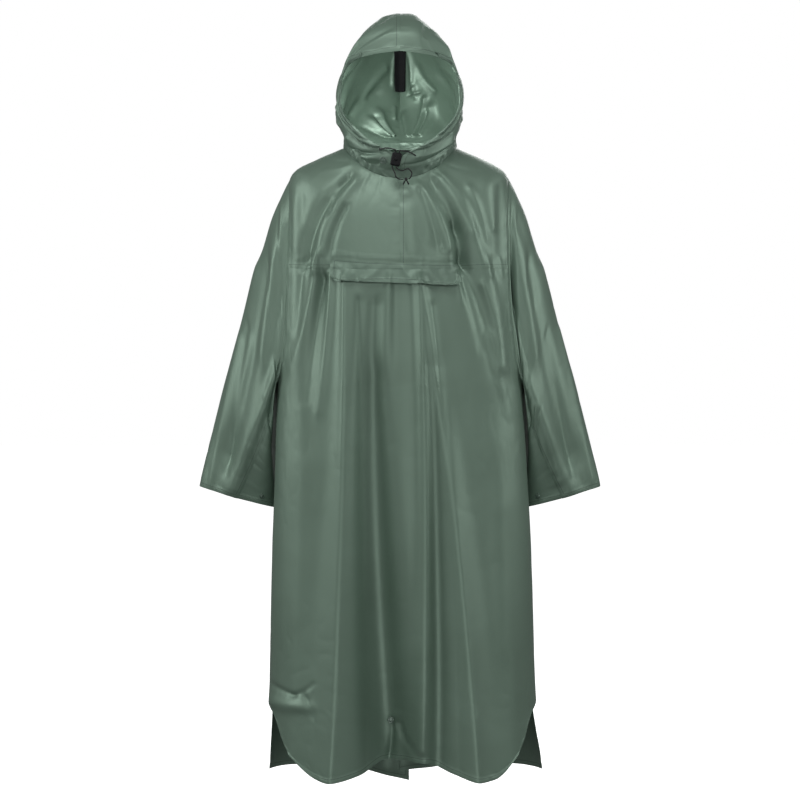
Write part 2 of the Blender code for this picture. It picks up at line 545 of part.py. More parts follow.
def front_body():
    """The front below the chest seam, one piece from side to side, with a rounded hem."""
    across = np.linspace(-1.0, 1.0, FRONT_COLUMNS)
    drop = levels_to_hem(BODY_LEVELS, column(FRONT_HEM, "across", "drop", across), HEM_ROWS)
    drop, across = np.maximum(drop, CHEST_DROP + SEAM_GAP / 2.0), across[None, :]
    torso_sheet("front_body", across * front_edge_angle(drop), drop, CLOTH)


def back_panel(side):
    """Half of the back, from shoulder to hem; the right one laps over the left one at the vent."""
    share = np.linspace(0.0, 1.0, 11)
    rise = VENT_UNDER_RISE * ease(share * 1.4 - 0.4) if side == LEFT else 0.0
    hem = column(BACK_HEM, "across", "drop", share) - rise
    drop, share = levels_to_hem(YOKE_LEVELS[:-1] + BODY_LEVELS, hem, HEM_ROWS), share[None, :]
    start = side_cut(drop, "open_back") + SEAM_GAP / 2.0 / TORSO_RADIUS
    centre = np.pi - np.abs(angle_at(np.full_like(drop, SEAM_GAP / 2.0), drop))
    lap = np.abs(angle_at(np.full_like(drop, VENT_LAP), drop)) * ease((drop - VENT_DROP) / 0.03)
    if side == LEFT:
        torso_sheet("back_left", start + (centre - start) * share, drop, CLOTH)
        return
    angle = start + (centre + lap - start) * share
    lift = VENT_LIFT * ease((drop - VENT_DROP + 0.12) / 0.06) * ease((angle - np.pi + 0.45) / 0.30)
    torso_sheet("back_right", -angle, drop, CLOTH, lift[..., None])


def chest_flap():
    """The pocket flap, sewn on along its top, with rounded lower corners that stand off the front."""
    down, share = grid_of(6, 17)
    below = down * FLAP_TALL
    into_corner = np.clip(below - (FLAP_TALL - FLAP_CORNER), 0.0, FLAP_CORNER)
    inset = FLAP_CORNER - np.sqrt(FLAP_CORNER ** 2 - into_corner ** 2)
    x = FLAP_RIGHT + inset + (FLAP_LEFT - FLAP_RIGHT - 2.0 * inset) * share
    drop = FLAP_TOP_RIGHT + (FLAP_TOP_LEFT - FLAP_TOP_RIGHT) * share + below
    angle = angle_at(x, drop)
    out = normals(torso, angle, drop, -1.0)
    panels = faces_of("front_yoke_left", "front_yoke_right", "front_body")
    stand = WALL / 2.0 + FLAP_STAND + FLAP_FLARE * down ** 1.5 * (0.7 + 0.6 * share)
    sheet("chest_flap", laid_on(panels, torso(angle, drop), out) + out * stand[..., None], out, CLOTH_TRIM)


# ---------------------------------------------------------------- sleeve pieces
def sleeve_sheet(name, round_angle, along, side):
    """A wall on the sleeve, whose armhole end turns to the direction shared with the torso."""
    out = normals(lambda a, b: sleeve(a, b, side), round_angle, along, side)
    shared = unit(stack(0.4 * side, -0.9 * np.sin(round_angle), 0.9 * np.cos(round_angle)))
    out = turn_to(out, shared, 1.0 - along * SLEEVE_LONG / EDGE_BLEND)
    turned = np.abs(np.arctan2(np.sin(round_angle), np.cos(round_angle)))
    to_seam = np.abs(turned - gusset_angle(along)) * SLEEVE_RADIUS
    out = turn_to(out, sleeve_out(round_angle, side), 1.0 - to_seam / EDGE_BLEND)
    sheet(name, sleeve(round_angle, along, side), out, CLOTH)


def sleeve_piece(side):
    """The sleeve from the front gusset seam over the arm to the back one."""
    along, share = grid_of(SLEEVE_ROWS, 21)
    reach = gusset_angle(along) - SEAM_GAP / SLEEVE_RADIUS
    sleeve_sheet("sleeve_" + NAMES[side], (share * 2.0 - 1.0) * reach, along, side)


def gusset_piece(side):
    """The underarm gusset, a wedge from the foot of the armhole to the inner half of the cuff."""
    along, share = grid_of(SLEEVE_ROWS, 9)
    start = gusset_angle(along) + SEAM_GAP / SLEEVE_RADIUS
    sleeve_sheet("gusset_" + NAMES[side], start + (2.0 * np.pi - 2.0 * start) * share, along, side)


# ---------------------------------------------------------------- hood pieces
def hood_out(back, up, side):
    """Wall directions of a hood half, shared with the other half and with the neckband at its edges."""
    out = normals(lambda a, b: hood(a, b, side), back, up, side)
    flat = unit(out * np.array([0.0, 1.0, 1.0]) + np.array([0.0, 1e-6, 1e-6]))
    out = turn_to(out, flat, 1.0 - (1.0 - up) * HOOD_TALL / EDGE_BLEND)
    out = turn_to(out, flat, 1.0 - (1.0 - back) * HOOD_DEEP / EDGE_BLEND)
    closed_front = (1.0 - back * HOOD_DEEP / EDGE_BLEND) * (up < FACE_EDGE[2].share)
    out = turn_to(out, unit(out * np.array([0.0, 1.0, 1.0])), closed_front)
    radial = unit(stack(side * np.sin(np.pi * back), -np.cos(np.pi * back), 0.0))
    return turn_to(out, radial, 1.0 - up * HOOD_TALL / EDGE_BLEND)


def hood_piece(side):
    """One hood half, whose front top is the peak."""
    up, back = grid_of(HOOD_ROWS, HOOD_COLUMNS)
    foot = 2.0 * SEAM_GAP / HOOD_TALL
    up = foot + (1.0 - foot) * up
    sheet("hood_" + NAMES[side], hood(back, up, side), hood_out(back, up, side), CLOTH)


def face_channel(side):
    """The drawcord's casing, sewn on the hood along the side of the face opening."""
    share, across = grid_of(17, 3)
    up = CHANNEL_FOOT + (CHANNEL_TOP - CHANNEL_FOOT) * share
    back = 0.002 + across * CHANNEL_WIDE / HOOD_DEEP
    out = hood_out(back, up, side)
    stand = WALL + SEAM_GAP * 2.5
    sheet("face_channel_" + NAMES[side], hood(back, up, side) + out * stand, out, CLOTH_TRIM)


def collar_steps(angle):
    """The collar in the straight steps of the hood's columns, by the signed angle."""
    steps = np.linspace(-np.pi, np.pi, 2 * HOOD_COLUMNS - 1)
    points = collar(steps)
    return np.stack([np.interp(angle, steps, points[:, axis]) for axis in range(3)], axis=-1)


def neckband_point(angle, up):
    """A point of the band between the neck seam and the hood."""
    foot = torso_bare(angle, np.full_like(angle, NECK_DROP)) + stack(
        -np.sin(angle), np.cos(angle), 1.0) * SEAM_GAP
    low, high = np.radians(GATHER_FROM), np.radians(GATHER_TO)
    place = (np.abs(angle) - low) / (high - low)
    inside = ease(place * 4.0) * ease((1.0 - place) * 4.0)
    middle = np.sin(np.pi * np.clip(up, 0, 1))
    pleat = GATHER_DEPTH * np.sin(2.0 * np.pi * GATHERS * place) * inside * middle
    radial = stack(np.sin(angle), -np.cos(angle), 0.0)
    share = up[..., None]
    return foot * (1.0 - share) + collar_steps(angle) * share + radial * pleat[..., None]


def neckband():
    """The band round the neck, joined at the centre back and gathered on both sides of the throat."""
    low, high = math.radians(GATHER_FROM), math.radians(GATHER_TO)
    back = math.pi - SEAM_GAP / 2.0 / NECK_RADIUS
    gathered = np.linspace(low, high, GATHERS * 4 + 1)
    half = np.concatenate([[0.0, low / 2.0], gathered, np.linspace(high, back, 13)[1:]])
    up, angle = np.meshgrid(np.linspace(0.0, 1.0, 3), np.concatenate([-half[:0:-1], half]), indexing="ij")
    out = unit(stack(np.sin(angle), -np.cos(angle), 0.0))
    out = turn_to(out, neck_direction(angle), 1.0 - up * 1.5)
    sheet("neckband", neckband_point(angle, up), out, CLOTH_TRIM)


# ---------------------------------------------------------------- fastenings
def disc(name, place, faces, radius, thick, finish):
    """A round fastening with a bevelled rim, whose axis is the cloth's outward direction."""
    bm = bmesh.new()
    bmesh.ops.create_cone(bm, cap_ends=True, segments=16, radius1=radius, radius2=radius * 0.86,
                          depth=thick)
    seat_on(bm, place, faces, radius, thick / 2.0)
    return add_object(name, bm, finish)


def seat_on(bm, place, faces, radius, half_height):
    """Turn a round shape made round Z to rest on the cloth's highest faces under it."""
    point, out = Vector(place[0]), Vector(place[1]).normalized()
    turn = Vector((0.0, 0.0, 1.0)).rotation_difference(out).to_matrix()
    rim = [turn @ Vector((radius * math.cos(k * math.pi / 6.0), radius * math.sin(k * math.pi / 6.0), 0.0))
           for k in range(12)]
    spots = np.array([point] + [point + spoke for spoke in rim] + [point + spoke / 2.0 for spoke in rim])
    rests = laid_on(faces, spots, np.tile(np.array(out), (len(spots), 1)))
    height = max((Vector(rest) - point).dot(out) for rest in rests) + SEAM_GAP + half_height
    bmesh.ops.transform(bm, matrix=Matrix.Translation(point + out * height) @ turn.to_4x4(), verts=bm.verts)


def at_place(surface, first, second, sign):
    """A surface's point and outward direction at one place."""
    a, b = np.array([first]), np.array([second])
    return surface(a, b)[0], normals(surface, a, b, sign)[0]


def ring_solid(name, place, faces, radius, tube, finish):
    """A small round eyelet lying on cloth."""
    bm = bmesh.new()
    circle = bmesh.ops.create_circle(bm, segments=6, radius=tube)["verts"]
    aside = Matrix.Translation((radius, 0.0, 0.0)) @ Matrix.Rotation(math.pi / 2.0, 4, "X")
    bmesh.ops.transform(bm, matrix=aside, verts=circle)
    bmesh.ops.spin(bm, geom=bm.verts[:] + bm.edges[:], cent=(0, 0, 0), axis=(0, 0, 1), angle=2.0 * math.pi,
                   steps=14, use_merge=True)
    bmesh.ops.remove_doubles(bm, verts=bm.verts[:], dist=1e-6)
    seat_on(bm, place, faces, radius + tube, tube)
    return add_object(name, bm, finish)


def cord(name, route, finish=BLACK_WEBBING):
    """A round cord along a smooth curve through its route's points."""
    points = smooth_route(route)
    curve = bpy.data.curves.new(name, "CURVE")
    curve.dimensions = "3D"
    curve.bevel_depth = CORD_DIAMETER / 2.0
    curve.bevel_resolution = 2
    curve.use_fill_caps = True
    spline = curve.splines.new("POLY")
    spline.points.add(len(points) - 1)
    for spot, point in zip(spline.points, points):
        spot.co = (*point, 1.0)
    return finish_object(name, curve, finish)


def smooth_route(route):
    """Evenly spaced points on a smooth curve through the route's points."""
    route = np.array(route, float)
    ends = np.vstack([2 * route[0] - route[1], route, 2 * route[-1] - route[-2]])
    dense = []
    for before, a, b, after in zip(ends, ends[1:], ends[2:], ends[3:]):
        for t in np.linspace(0.0, 1.0, 24, endpoint=False):
            dense.append(0.5 * (2 * a + (b - before) * t + (2 * before - 5 * a + 4 * b - after) * t * t
                                + (3 * a - before - 3 * b + after) * t ** 3))
    dense = np.vstack([dense, route[-1:]])
    run = np.concatenate([[0.0], np.cumsum(np.linalg.norm(np.diff(dense, axis=0), axis=1))])
    count = max(4, int(round(run[-1] / CORD_STEP)) + 1)
    places = np.linspace(0.0, run[-1], count)
    return np.stack([np.interp(places, run, dense[:, axis]) for axis in range(3)], axis=-1)


def cord_lock():
    """The spring lock that the drawcord runs through: a rounded block."""
    bm = bmesh.new()
    bmesh.ops.create_cube(bm, size=1.0)
    bmesh.ops.scale(bm, vec=LOCK_SIZE, verts=bm.verts)
    bmesh.ops.bevel(bm, geom=bm.edges[:], offset=LOCK_ROUNDING, segments=2, profile=0.5, affect="EDGES",
                    material=-1)
    turn = Matrix.Translation(LOCK_CENTRE) @ Matrix.Rotation(LOCK_TILT, 4, "Y")
    bmesh.ops.transform(bm, matrix=turn, verts=bm.verts)
    return add_object("cord_lock", bm, BLACK_PLASTIC)


def lock_spot(x, z):
    """A place just outside the cord lock's top (z above 0) or foot, x across it."""
    stand = math.copysign(LOCK_SIZE.z / 2.0 + SEAM_GAP + CORD_DIAMETER * 0.2, z)
    return LOCK_CENTRE + Matrix.Rotation(LOCK_TILT, 3, "Y") @ Vector((x, 0.0, stand))


def drawcord():
    """The eyelets, the drawcord's two stretches to the lock, and its two knotted ends below it."""
    for side in (LEFT, RIGHT):
        name = NAMES[side]
        place = at_place(lambda a, b: hood(a, b, side), *EYELET_PLACES[side], side)
        faces = faces_of("hood_" + name)
        ring = ring_solid("eyelet_" + name, place, faces, EYELET_RADIUS, EYELET_TUBE, DARK_METAL)
        middle = sum((vertex.co for vertex in ring.data.vertices), Vector()) / len(ring.data.vertices)
        leave = Vector(place[1]) * CORD_DIAMETER
        end = lock_spot(LOCK_HOLES * side, 1.0)
        over = middle.lerp(end, 0.45) + Vector((0.0, -0.006, 0.004))
        cord("drawcord_" + name, [middle, middle + leave, over, end + Vector((0.0, 0.0, 0.004)), end])
        foot = lock_spot(LOCK_HOLES * side, -1.0)
        route = [(spot.x, spot.y, spot.z) for spot in END_ROUTES[side]]
        cord("drawcord_end_" + name, [foot, foot - Vector((0.0, 0.0, 0.003))] + route)
    knot()


def knot():
    """The knot that ties the cord's ends together, and their two frayed tips."""
    bm = bmesh.new()
    bmesh.ops.create_uvsphere(bm, u_segments=12, v_segments=8, radius=KNOT_RADIUS)
    bmesh.ops.scale(bm, vec=(1.15, 0.85, 1.0), verts=bm.verts)
    bmesh.ops.translate(bm, vec=KNOT_CENTRE, verts=bm.verts)
    add_object("cord_knot", bm, BLACK_WEBBING)
    for side in (LEFT, RIGHT):
        bm = bmesh.new()
        bmesh.ops.create_cone(bm, cap_ends=True, segments=10, radius1=CORD_DIAMETER * 0.8,
                              radius2=CORD_DIAMETER * 0.4, depth=TIP_LONG)
        down = Vector((TIP_SPREAD * side, 0.0, -1.0)).normalized()
        turn = Vector((0.0, 0.0, -1.0)).rotation_difference(down).to_matrix().to_4x4()
        middle = KNOT_CENTRE + down * (KNOT_RADIUS * 1.12 + SEAM_GAP + TIP_LONG / 2.0)
        bmesh.ops.transform(bm, matrix=Matrix.Translation(middle) @ turn, verts=bm.verts)
        add_object("cord_tip_" + NAMES[side], bm, BLACK_WEBBING)


def hood_strap():
    """The black webbing inside the hood, down its centre back seam, narrower at its foot."""
    share, across = grid_of(12, 4)
    place = STRAP_TOP + (STRAP_FOOT - STRAP_TOP) * share
    line = np.where((place < BACK_START)[..., None], read_knots(CROWN_SEAM, place / BACK_START, 1.0),
                    read_knots(BACK_SEAM, (1.0 - place) / (1.0 - BACK_START), 1.0))
    along = unit(np.gradient(line, axis=0))
    inwards = stack(0.0, along[..., 2], -along[..., 1])
    width = STRAP_WIDE + (STRAP_NARROW - STRAP_WIDE) * share
    spots = line + stack(width * (across - 0.5), 0.0, 0.0)
    spots = laid_on(faces_of("hood_left", "hood_right"), spots, inwards)
    stand = STRAP_THICK / 2.0 + STRAP_STAND + STRAP_HANG * share ** 2
    half = inwards * STRAP_THICK / 2.0
    middle = spots + inwards * stand[..., None]
    wall_between("hood_strap", middle + half, middle - half, BLACK_WEBBING)


def snaps():
    """The snaps on both cuffs, over the hem at the centre front and at the throat."""
    for side in (LEFT, RIGHT):
        at = (math.radians(CUFF_SNAP_ROUND), CUFF_SNAP_ALONG)
        place = at_place(lambda a, b: sleeve(a, b, side), *at, side)
        faces = faces_of("gusset_" + NAMES[side])
        disc("cuff_snap_" + NAMES[side], place, faces, SNAP_RADIUS, SNAP_THICK, DARK_METAL)
    angle = float(angle_at(np.array(HEM_SNAP_X), np.array(HEM_SNAP_DROP)))
    place = at_place(torso, angle, HEM_SNAP_DROP, -1.0)
    disc("hem_snap", place, faces_of("front_body"), SNAP_RADIUS, SNAP_THICK, DARK_METAL)
    place = at_place(lambda a, b: hood(a, b, RIGHT), *THROAT_SNAP_PLACE, RIGHT)
    disc("throat_snap", place, faces_of("hood_right"), THROAT_SNAP_RADIUS, SNAP_THICK, CLOTH_TRIM)


# ---------------------------------------------------------------- assembly
def clear_scene():
    """Remove what the scene starts with."""
    for obj in list(bpy.data.objects):
        bpy.data.objects.remove(obj, do_unlink=True)


def main():
    """Build every piece of the poncho."""
    clear_scene()
    front_body()
    neckband()
    for side in (LEFT, RIGHT):
        front_yoke(side)
        back_panel(side)
        sleeve_piece(side)
        gusset_piece(side)
        hood_piece(side)
        face_channel(side)
    chest_flap()
    hood_strap()
    cord_lock()
    drawcord()
    snaps()


if __name__ == "__main__":
    main()
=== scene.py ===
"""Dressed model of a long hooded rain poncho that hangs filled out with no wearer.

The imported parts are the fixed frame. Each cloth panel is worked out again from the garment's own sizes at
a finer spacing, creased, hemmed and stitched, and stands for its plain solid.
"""

import logging
import math
from collections.abc import Callable, Sequence
from dataclasses import dataclass, field
from enum import Enum

import bmesh
import bpy
import numpy as np
from mathutils import Matrix, Vector
from mathutils.bvhtree import BVHTree


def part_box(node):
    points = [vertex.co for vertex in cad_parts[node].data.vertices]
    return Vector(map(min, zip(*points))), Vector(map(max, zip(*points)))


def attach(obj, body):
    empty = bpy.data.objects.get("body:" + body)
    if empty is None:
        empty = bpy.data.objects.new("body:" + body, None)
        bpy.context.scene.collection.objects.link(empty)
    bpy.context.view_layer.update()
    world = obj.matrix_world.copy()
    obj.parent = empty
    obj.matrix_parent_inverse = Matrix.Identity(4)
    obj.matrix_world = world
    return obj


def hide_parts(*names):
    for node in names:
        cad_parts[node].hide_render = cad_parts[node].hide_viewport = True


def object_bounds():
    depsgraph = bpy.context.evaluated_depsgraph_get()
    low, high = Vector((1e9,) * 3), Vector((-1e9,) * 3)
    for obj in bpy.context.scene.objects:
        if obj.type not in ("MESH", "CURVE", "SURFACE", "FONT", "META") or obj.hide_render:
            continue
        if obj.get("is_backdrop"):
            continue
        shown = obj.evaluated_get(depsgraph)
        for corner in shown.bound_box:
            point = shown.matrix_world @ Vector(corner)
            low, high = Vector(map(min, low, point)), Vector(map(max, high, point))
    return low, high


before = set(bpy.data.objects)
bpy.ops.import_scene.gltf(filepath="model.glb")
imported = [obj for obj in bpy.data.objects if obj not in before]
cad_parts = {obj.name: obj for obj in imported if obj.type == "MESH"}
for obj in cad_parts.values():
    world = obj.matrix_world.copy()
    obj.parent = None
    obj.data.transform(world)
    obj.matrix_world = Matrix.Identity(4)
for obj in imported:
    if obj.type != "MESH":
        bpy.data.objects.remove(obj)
log = logging.getLogger("rain_poncho")

Points = np.ndarray
Surface = Callable[[Points, Points], Points]
Socket = bpy.types.NodeSocket

BODY = "root"
CLOTH_MAP, EDGE_MAP = "cloth", "edge"
FAR_FROM_EDGE = 0.060
FULL_TURN = 2.0 * math.pi
UPRIGHT = Vector((0.0, 0.0, 1.0))
MERGE_WITHIN = 1e-6


class Side(Enum):
    """The wearer's side that a piece is on; the value is the sign of its x."""

    LEFT = 1.0
    RIGHT = -1.0

    @property
    def label(self) -> str:
        """The side's word in the pieces' names."""
        return self.name.lower()


class Edging(Enum):
    """How a panel's edge is finished: band, rise, stitch line, pucker and tuck, in metres."""

    RAW = (0.0, 0.0, 0.0, 0.0, 0.0)
    JOINED = (0.0, 0.0, 0.0, 0.00050, 0.0003)
    FELLED = (0.0085, 0.0005, 0.0070, 0.00055, 0.0003)
    HEM = (0.0095, 0.0011, 0.0084, 0.00060, 0.0)
    CASING = (0.0, 0.0, 0.0030, 0.00035, 0.0)

    @property
    def band(self) -> float:
        """Width of the doubled band along the edge."""
        return self.value[0]

    @property
    def rise(self) -> float:
        """How far the band stands proud."""
        return self.value[1]

    @property
    def stitch(self) -> float:
        """How far in from the edge the stitch line runs; none at 0."""
        return self.value[2]

    @property
    def pucker(self) -> float:
        """Height of the puckers that the stitching draws up."""
        return self.value[3]

    @property
    def tuck(self) -> float:
        """How deep the edge turns in at its seam."""
        return self.value[4]


# ---------------------------------------------------------------- tables of the garment's form
@dataclass(frozen=True)
class Ring:
    """One ring of the torso, widest at wide_y, cut at the sides at open_front and open_back degrees."""

    drop: float
    half_left: float
    half_right: float
    wide_y: float
    front_y: float
    back_y: float
    side_z: float
    back_z: float
    open_front: float
    open_back: float


@dataclass(frozen=True)
class Knot:
    """A point of an edge, at a share of its length."""

    share: float
    x: float
    y: float
    z: float


@dataclass(frozen=True)
class Hem:
    """A lower edge's depth at a place across the panel."""

    across: float
    drop: float


@dataclass(frozen=True)
class Swell:
    """How far the sleeve stands outside the straight line from armhole to cuff."""

    along: float
    outer: float
    depth: float
    inner: float


@dataclass(frozen=True)
class Crease:
    """A soft ridge (depth above 0) or trough (below 0) over a surface's own plan, in metres.

    It runs from x0, z0 to x1, z1 and bow swings its middle aside. Widths and depths go from start to
    end. A crest of 2 is round, and near 1 a sharp line. A lean above 1 makes its far flank gentler.
    """

    x0: float
    z0: float
    x1: float
    z1: float
    bow: float
    width0: float
    width1: float
    depth0: float
    depth1: float
    crest: float = 2.0
    lean: float = 1.0


def creases(*rows: Sequence[float]) -> tuple[Crease, ...]:
    """Make creases from a table.

    Args:
        rows: A crease's columns from x0 to depth1 in millimetres, then its crest and lean where they
            aren't the usual ones.

    Returns:
        The creases, in metres.
    """
    lengths = 9
    return tuple(Crease(*[size / 1000.0 for size in row[:lengths]], *row[lengths:]) for row in rows)


TORSO_RINGS = (
    Ring(0.048, 0.112, 0.113, -0.006, -0.112, 0.086, 0.021, 0.032, 90, 90),
    Ring(0.084, 0.164, 0.165, -0.002, -0.128, 0.116, -0.001, -0.001, 90, 90),
    Ring(0.120, 0.211, 0.214, 0.002, -0.139, 0.134, -0.030, -0.040, 90, 90),
    Ring(0.152, 0.222, 0.227, 0.004, -0.146, 0.142, -0.076, -0.087, 73, 107),
    Ring(0.182, 0.229, 0.236, 0.003, -0.151, 0.147, -0.130, -0.138, 66, 113),
    Ring(0.228, 0.232, 0.240, -0.001, -0.154, 0.150, -0.220, -0.224, 65, 114),
    Ring(0.300, 0.235, 0.241, -0.010, -0.157, 0.151, -0.300, -0.300, 66, 114),
    Ring(0.380, 0.238, 0.241, -0.026, -0.159, 0.152, -0.380, -0.380, 69, 111),
    Ring(0.435, 0.240, 0.241, -0.038, -0.160, 0.152, -0.435, -0.435, 78, 107),
    Ring(0.462, 0.241, 0.242, -0.042, -0.160, 0.152, -0.462, -0.462, 103, 103),
    Ring(0.600, 0.249, 0.246, -0.046, -0.163, 0.153, -0.600, -0.600, 103, 103),
    Ring(0.800, 0.260, 0.253, -0.038, -0.168, 0.155, -0.800, -0.800, 103, 103),
    Ring(1.055, 0.268, 0.259, -0.028, -0.176, 0.160, -1.055, -1.055, 103, 103),
    Ring(1.090, 0.271, 0.261, -0.026, -0.177, 0.161, -1.090, -1.090, 70, 102),
    Ring(1.140, 0.278, 0.263, -0.024, -0.178, 0.163, -1.140, -1.140, 56, 101),
    Ring(1.200, 0.288, 0.266, -0.022, -0.179, 0.165, -1.200, -1.200, 41, 101),
    Ring(1.300, 0.292, 0.268, -0.020, -0.180, 0.168, -1.300, -1.300, 35, 101),
)
FRONT_HEM = (
    Hem(-1.00, 1.168), Hem(-0.92, 1.190), Hem(-0.82, 1.202), Hem(-0.62, 1.210), Hem(-0.34, 1.200),
    Hem(-0.10, 1.178), Hem(0.14, 1.176), Hem(0.40, 1.194), Hem(0.66, 1.208), Hem(0.82, 1.205),
    Hem(0.92, 1.194), Hem(1.00, 1.166),
)
BACK_HEM = (Hem(0.00, 1.220), Hem(0.25, 1.222), Hem(0.60, 1.238), Hem(1.00, 1.272))
FRONT_CREASES = creases(
    # the two deep lobes below the chest and the hollow between them
    (-100, -250, -128, -1240, 6, 16, 50, 6, 30),
    (-52, -300, -12, -1240, -20, 16, 62, -10, -56),
    (45, -250, 140, -1240, 10, 16, 50, 4, 34),
    (34, -250, 40, -1240, 12, 10, 18, 8, 12),
    (66, -420, 82, -1240, 0, 18, 24, -6, -20),
    # folds falling from the flap's corners and the armholes
    (-148, -250, -182, -560, -4, 12, 20, -8, -2),
    (-160, -205, -208, -430, 8, 10, 16, 7, 2),
    (50, -50, 120, -215, 12, 10, 14, -4, -10),
    (120, -215, 186, -420, 10, 14, 14, -10, -3),
    (78, -55, 196, -410, 28, 12, 15, 6, 7),
    (-104, -50, -184, -210, -20, 10, 14, -8, -9),
    (-88, -55, -152, -205, -12, 10, 12, 6, 6),
    (28, -70, 90, -190, 10, 12, 14, 5, 5),
    (-190, -800, -200, -1200, 0, 30, 30, 2, 10),
    (195, -700, 205, -1200, 0, 30, 34, 3, 12),
)
FRONT_DETAIL = creases(
    # crisp crowns of the long folds and the steep wall of the hollow
    (-106, -245, -125, -1215, 6, 7, 11, 5.6, 8, 1.4),
    (-78, -290, -68, -1215, -4, 7, 13, -5, -7, 1.6, 1.5),
    (-40, -440, -26, -1215, 0, 24, 44, -7, -15),
    (40, -245, 140, -1215, 12, 7, 11, 5.6, 8.6, 1.4),
    (62, -300, 112, -1215, 12, 6, 10, -4, -6, 1.6),
    (36, -250, 41, -1150, 10, 5, 8, 3.6, 5, 1.5),
    (-19, -240, -35, -500, 0, 8, 12, 3.4, 1),
    (-10, -250, -6, -560, 0, 8, 14, -3, -1.6),
    # troughs beside the flap and below the armholes
    (-150, -245, -181, -480, -3, 6, 7, -4.4, -1.6),
    (-134, -240, -158, -500, 4, 6, 8, 6, 2),
    (-154, -198, -210, -414, 6, 8.1, 9.5, 4.3, 1.4, 1.5),
    (-192, -213, -200, -348, 0, 7, 8, -6, -1.6),
    (112, -242, 119, -290, 0, 5, 6, 4, 1),
    (122, -250, 158, -380, 2, 7, 9, -5, -1.6),
    (173, -358, 212, -502, -2, 7, 10, 4.6, 1),
    (160, -260, 196, -420, 4, 6, 9, 5, 1.6, 1.5),
    # the yokes' folds, fanning from the gathered neck
    (-106, -55, -135, -110, -4, 8.1, 8.1, -4.3, -5.8),
    (-142, -100, -184, -200, -4, 8.1, 9.5, -5.8, -4.3),
    (-106, -107, -135, -190, -4, 6.8, 8.1, -5.4, -4.3),
    (-124, -70, -156, -190, -6, 8.1, 9.5, 4.3, 3.6, 1.6),
    (-193, -88, -193, -127, 0, 8.1, 6.8, -2.6, -1.4),
    (-206, -60, -204, -180, 0, 10.8, 10.8, 2.9, 2.2),
    (52, -40, 110, -150, 12, 8.1, 10.8, -4.3, -6.5),
    (110, -150, 122, -210, 2, 10.8, 10.8, -5.8, -5),
    (80, -40, 140, -150, 12, 8.1, 10.8, 3.6, 4.3, 1.6),
    (135, -69, 167, -165, 4, 6.8, 8.1, 4.3, 2.9, 1.5),
    (170, -60, 180, -142, 0, 20.3, 8.1, 5, 4.3),
    (196, -70, 198, -190, 0, 10.8, 10.8, -3.6, -2.9),
    (41, -78, 72, -176, 4, 6.8, 9.5, -5, -4.3),
    (30, -52, 98, -180, 8, 8.1, 10.8, 3.6, 3.6, 1.6),
    (54, -37, 70, -68, 1, 2.2, 3, -2.2, -0.7, 1.5),
    (62, -36, 80, -62, 1, 2.2, 3, 2.2, 0.7, 1.5),
    (70, -34, 92, -60, 1, 2.4, 3, -2, -0.6, 1.5),
    (17, -60, 23, -190, 1, 14.9, 16.2, 2.2, 3.6),
    (-50, -36, -68, -96, -4, 3, 5, 1.2, 0.3),
    (-60, -36, -86, -112, -4, 3, 5, -1.3, -0.4),
    (-36, -40, -44, -90, -1, 3, 5, -1, -0.3),
    (-26, -44, 4, -70, 1, 2.4, 3, -1, -0.3),
    (-100, -22, -150, -30, 2, 4, 6, 1.9, 0.6),
    (-104, -12, -140, -8, 2, 3.5, 5, -1.6, -0.4),
    (-200, -30, -172, -44, 2, 6.8, 8.1, 1.6, 0.3),
    (100, -22, 150, -34, -2, 4, 6, -1.6, -0.4),
    # the strip of gathers above the flap
    (2, -150, 8, -192, 0, 2.4, 3, -0.7, -1.4),
    (70, -150, 78, -190, 1, 2.2, 2.6, 0.6, 1.4),
    (80, -160, 84, -190, 0, 2.2, 2.6, -0.7, -1.6),
    (88, -160, 94, -190, 0, 2.2, 2.6, 0.6, 1.4),
    (98, -168, 102, -192, 0, 2, 2.6, -0.7, -1.4),
    # scallops where the yokes meet the front
    (-196, -206, -194, -230, 0, 5, 5, 3, 4),
    (-180, -204, -178, -232, 0, 5, 5, -3.4, -4),
    (-166, -206, -164, -230, 0, 4.4, 5, 3, 4),
    (-152, -208, -154, -236, 0, 4, 4.4, -3, -3.4),
    (168, -206, 172, -236, 0, 4, 5, 1.6, 1.8),
    (181, -206, 184, -240, 0, 5, 6, -1.4, -1.6),
    (195, -206, 198, -236, 0, 4, 5, 1.4, 1.6),
    # the crumple at the lower right and the pulls below the snap
    (-250, -1038, -202, -1050, 0, 6, 4.4, -3, -3.6),
    (-202, -1050, -164, -1026, -3, 4.4, 3.6, -3.6, -2),
    (-238, -1070, -178, -1070, 0, 14, 11, 7, 6),
    (-180, -1050, -164, -1085, 2, 4, 5, -4, -1.4),
    (-15, -1106, -26, -1182, 3, 4.5, 7, -6.4, -7),
    (-1, -1106, 32, -1160, -4, 4.5, 7, -6, -3),
    (-8, -1104, -4, -1175, 0, 5.5, 9, 4.4, 4),
    (-20, -1098, -4, -1086, 0, 3, 3, 4, 3, 1.4),
    (-190, -500, -198, -900, 2, 12, 16, 1.6, 1.4),
    (190, -560, 196, -960, 2, 14, 18, 1.4, 1.8),
)
BACK_CREASES = creases(
    (-20, -60, -110, -1240, 10, 20, 50, 3, 30),
    (50, -90, 70, -1240, -10, 20, 46, -3, -26),
    (120, -120, 165, -1240, 6, 16, 40, 4, 24),
    (-150, -150, -195, -1240, -10, 16, 34, -4, -18),
    (-60, -200, -30, -1240, -8, 20, 30, -3, -14),
    (0, -45, 60, -300, -10, 20, 30, 4, 2),
    (170, -60, 120, -260, -6, 12, 18, 6, 2),
    (-165, -60, -110, -280, 6, 12, 18, 6, 2),
)
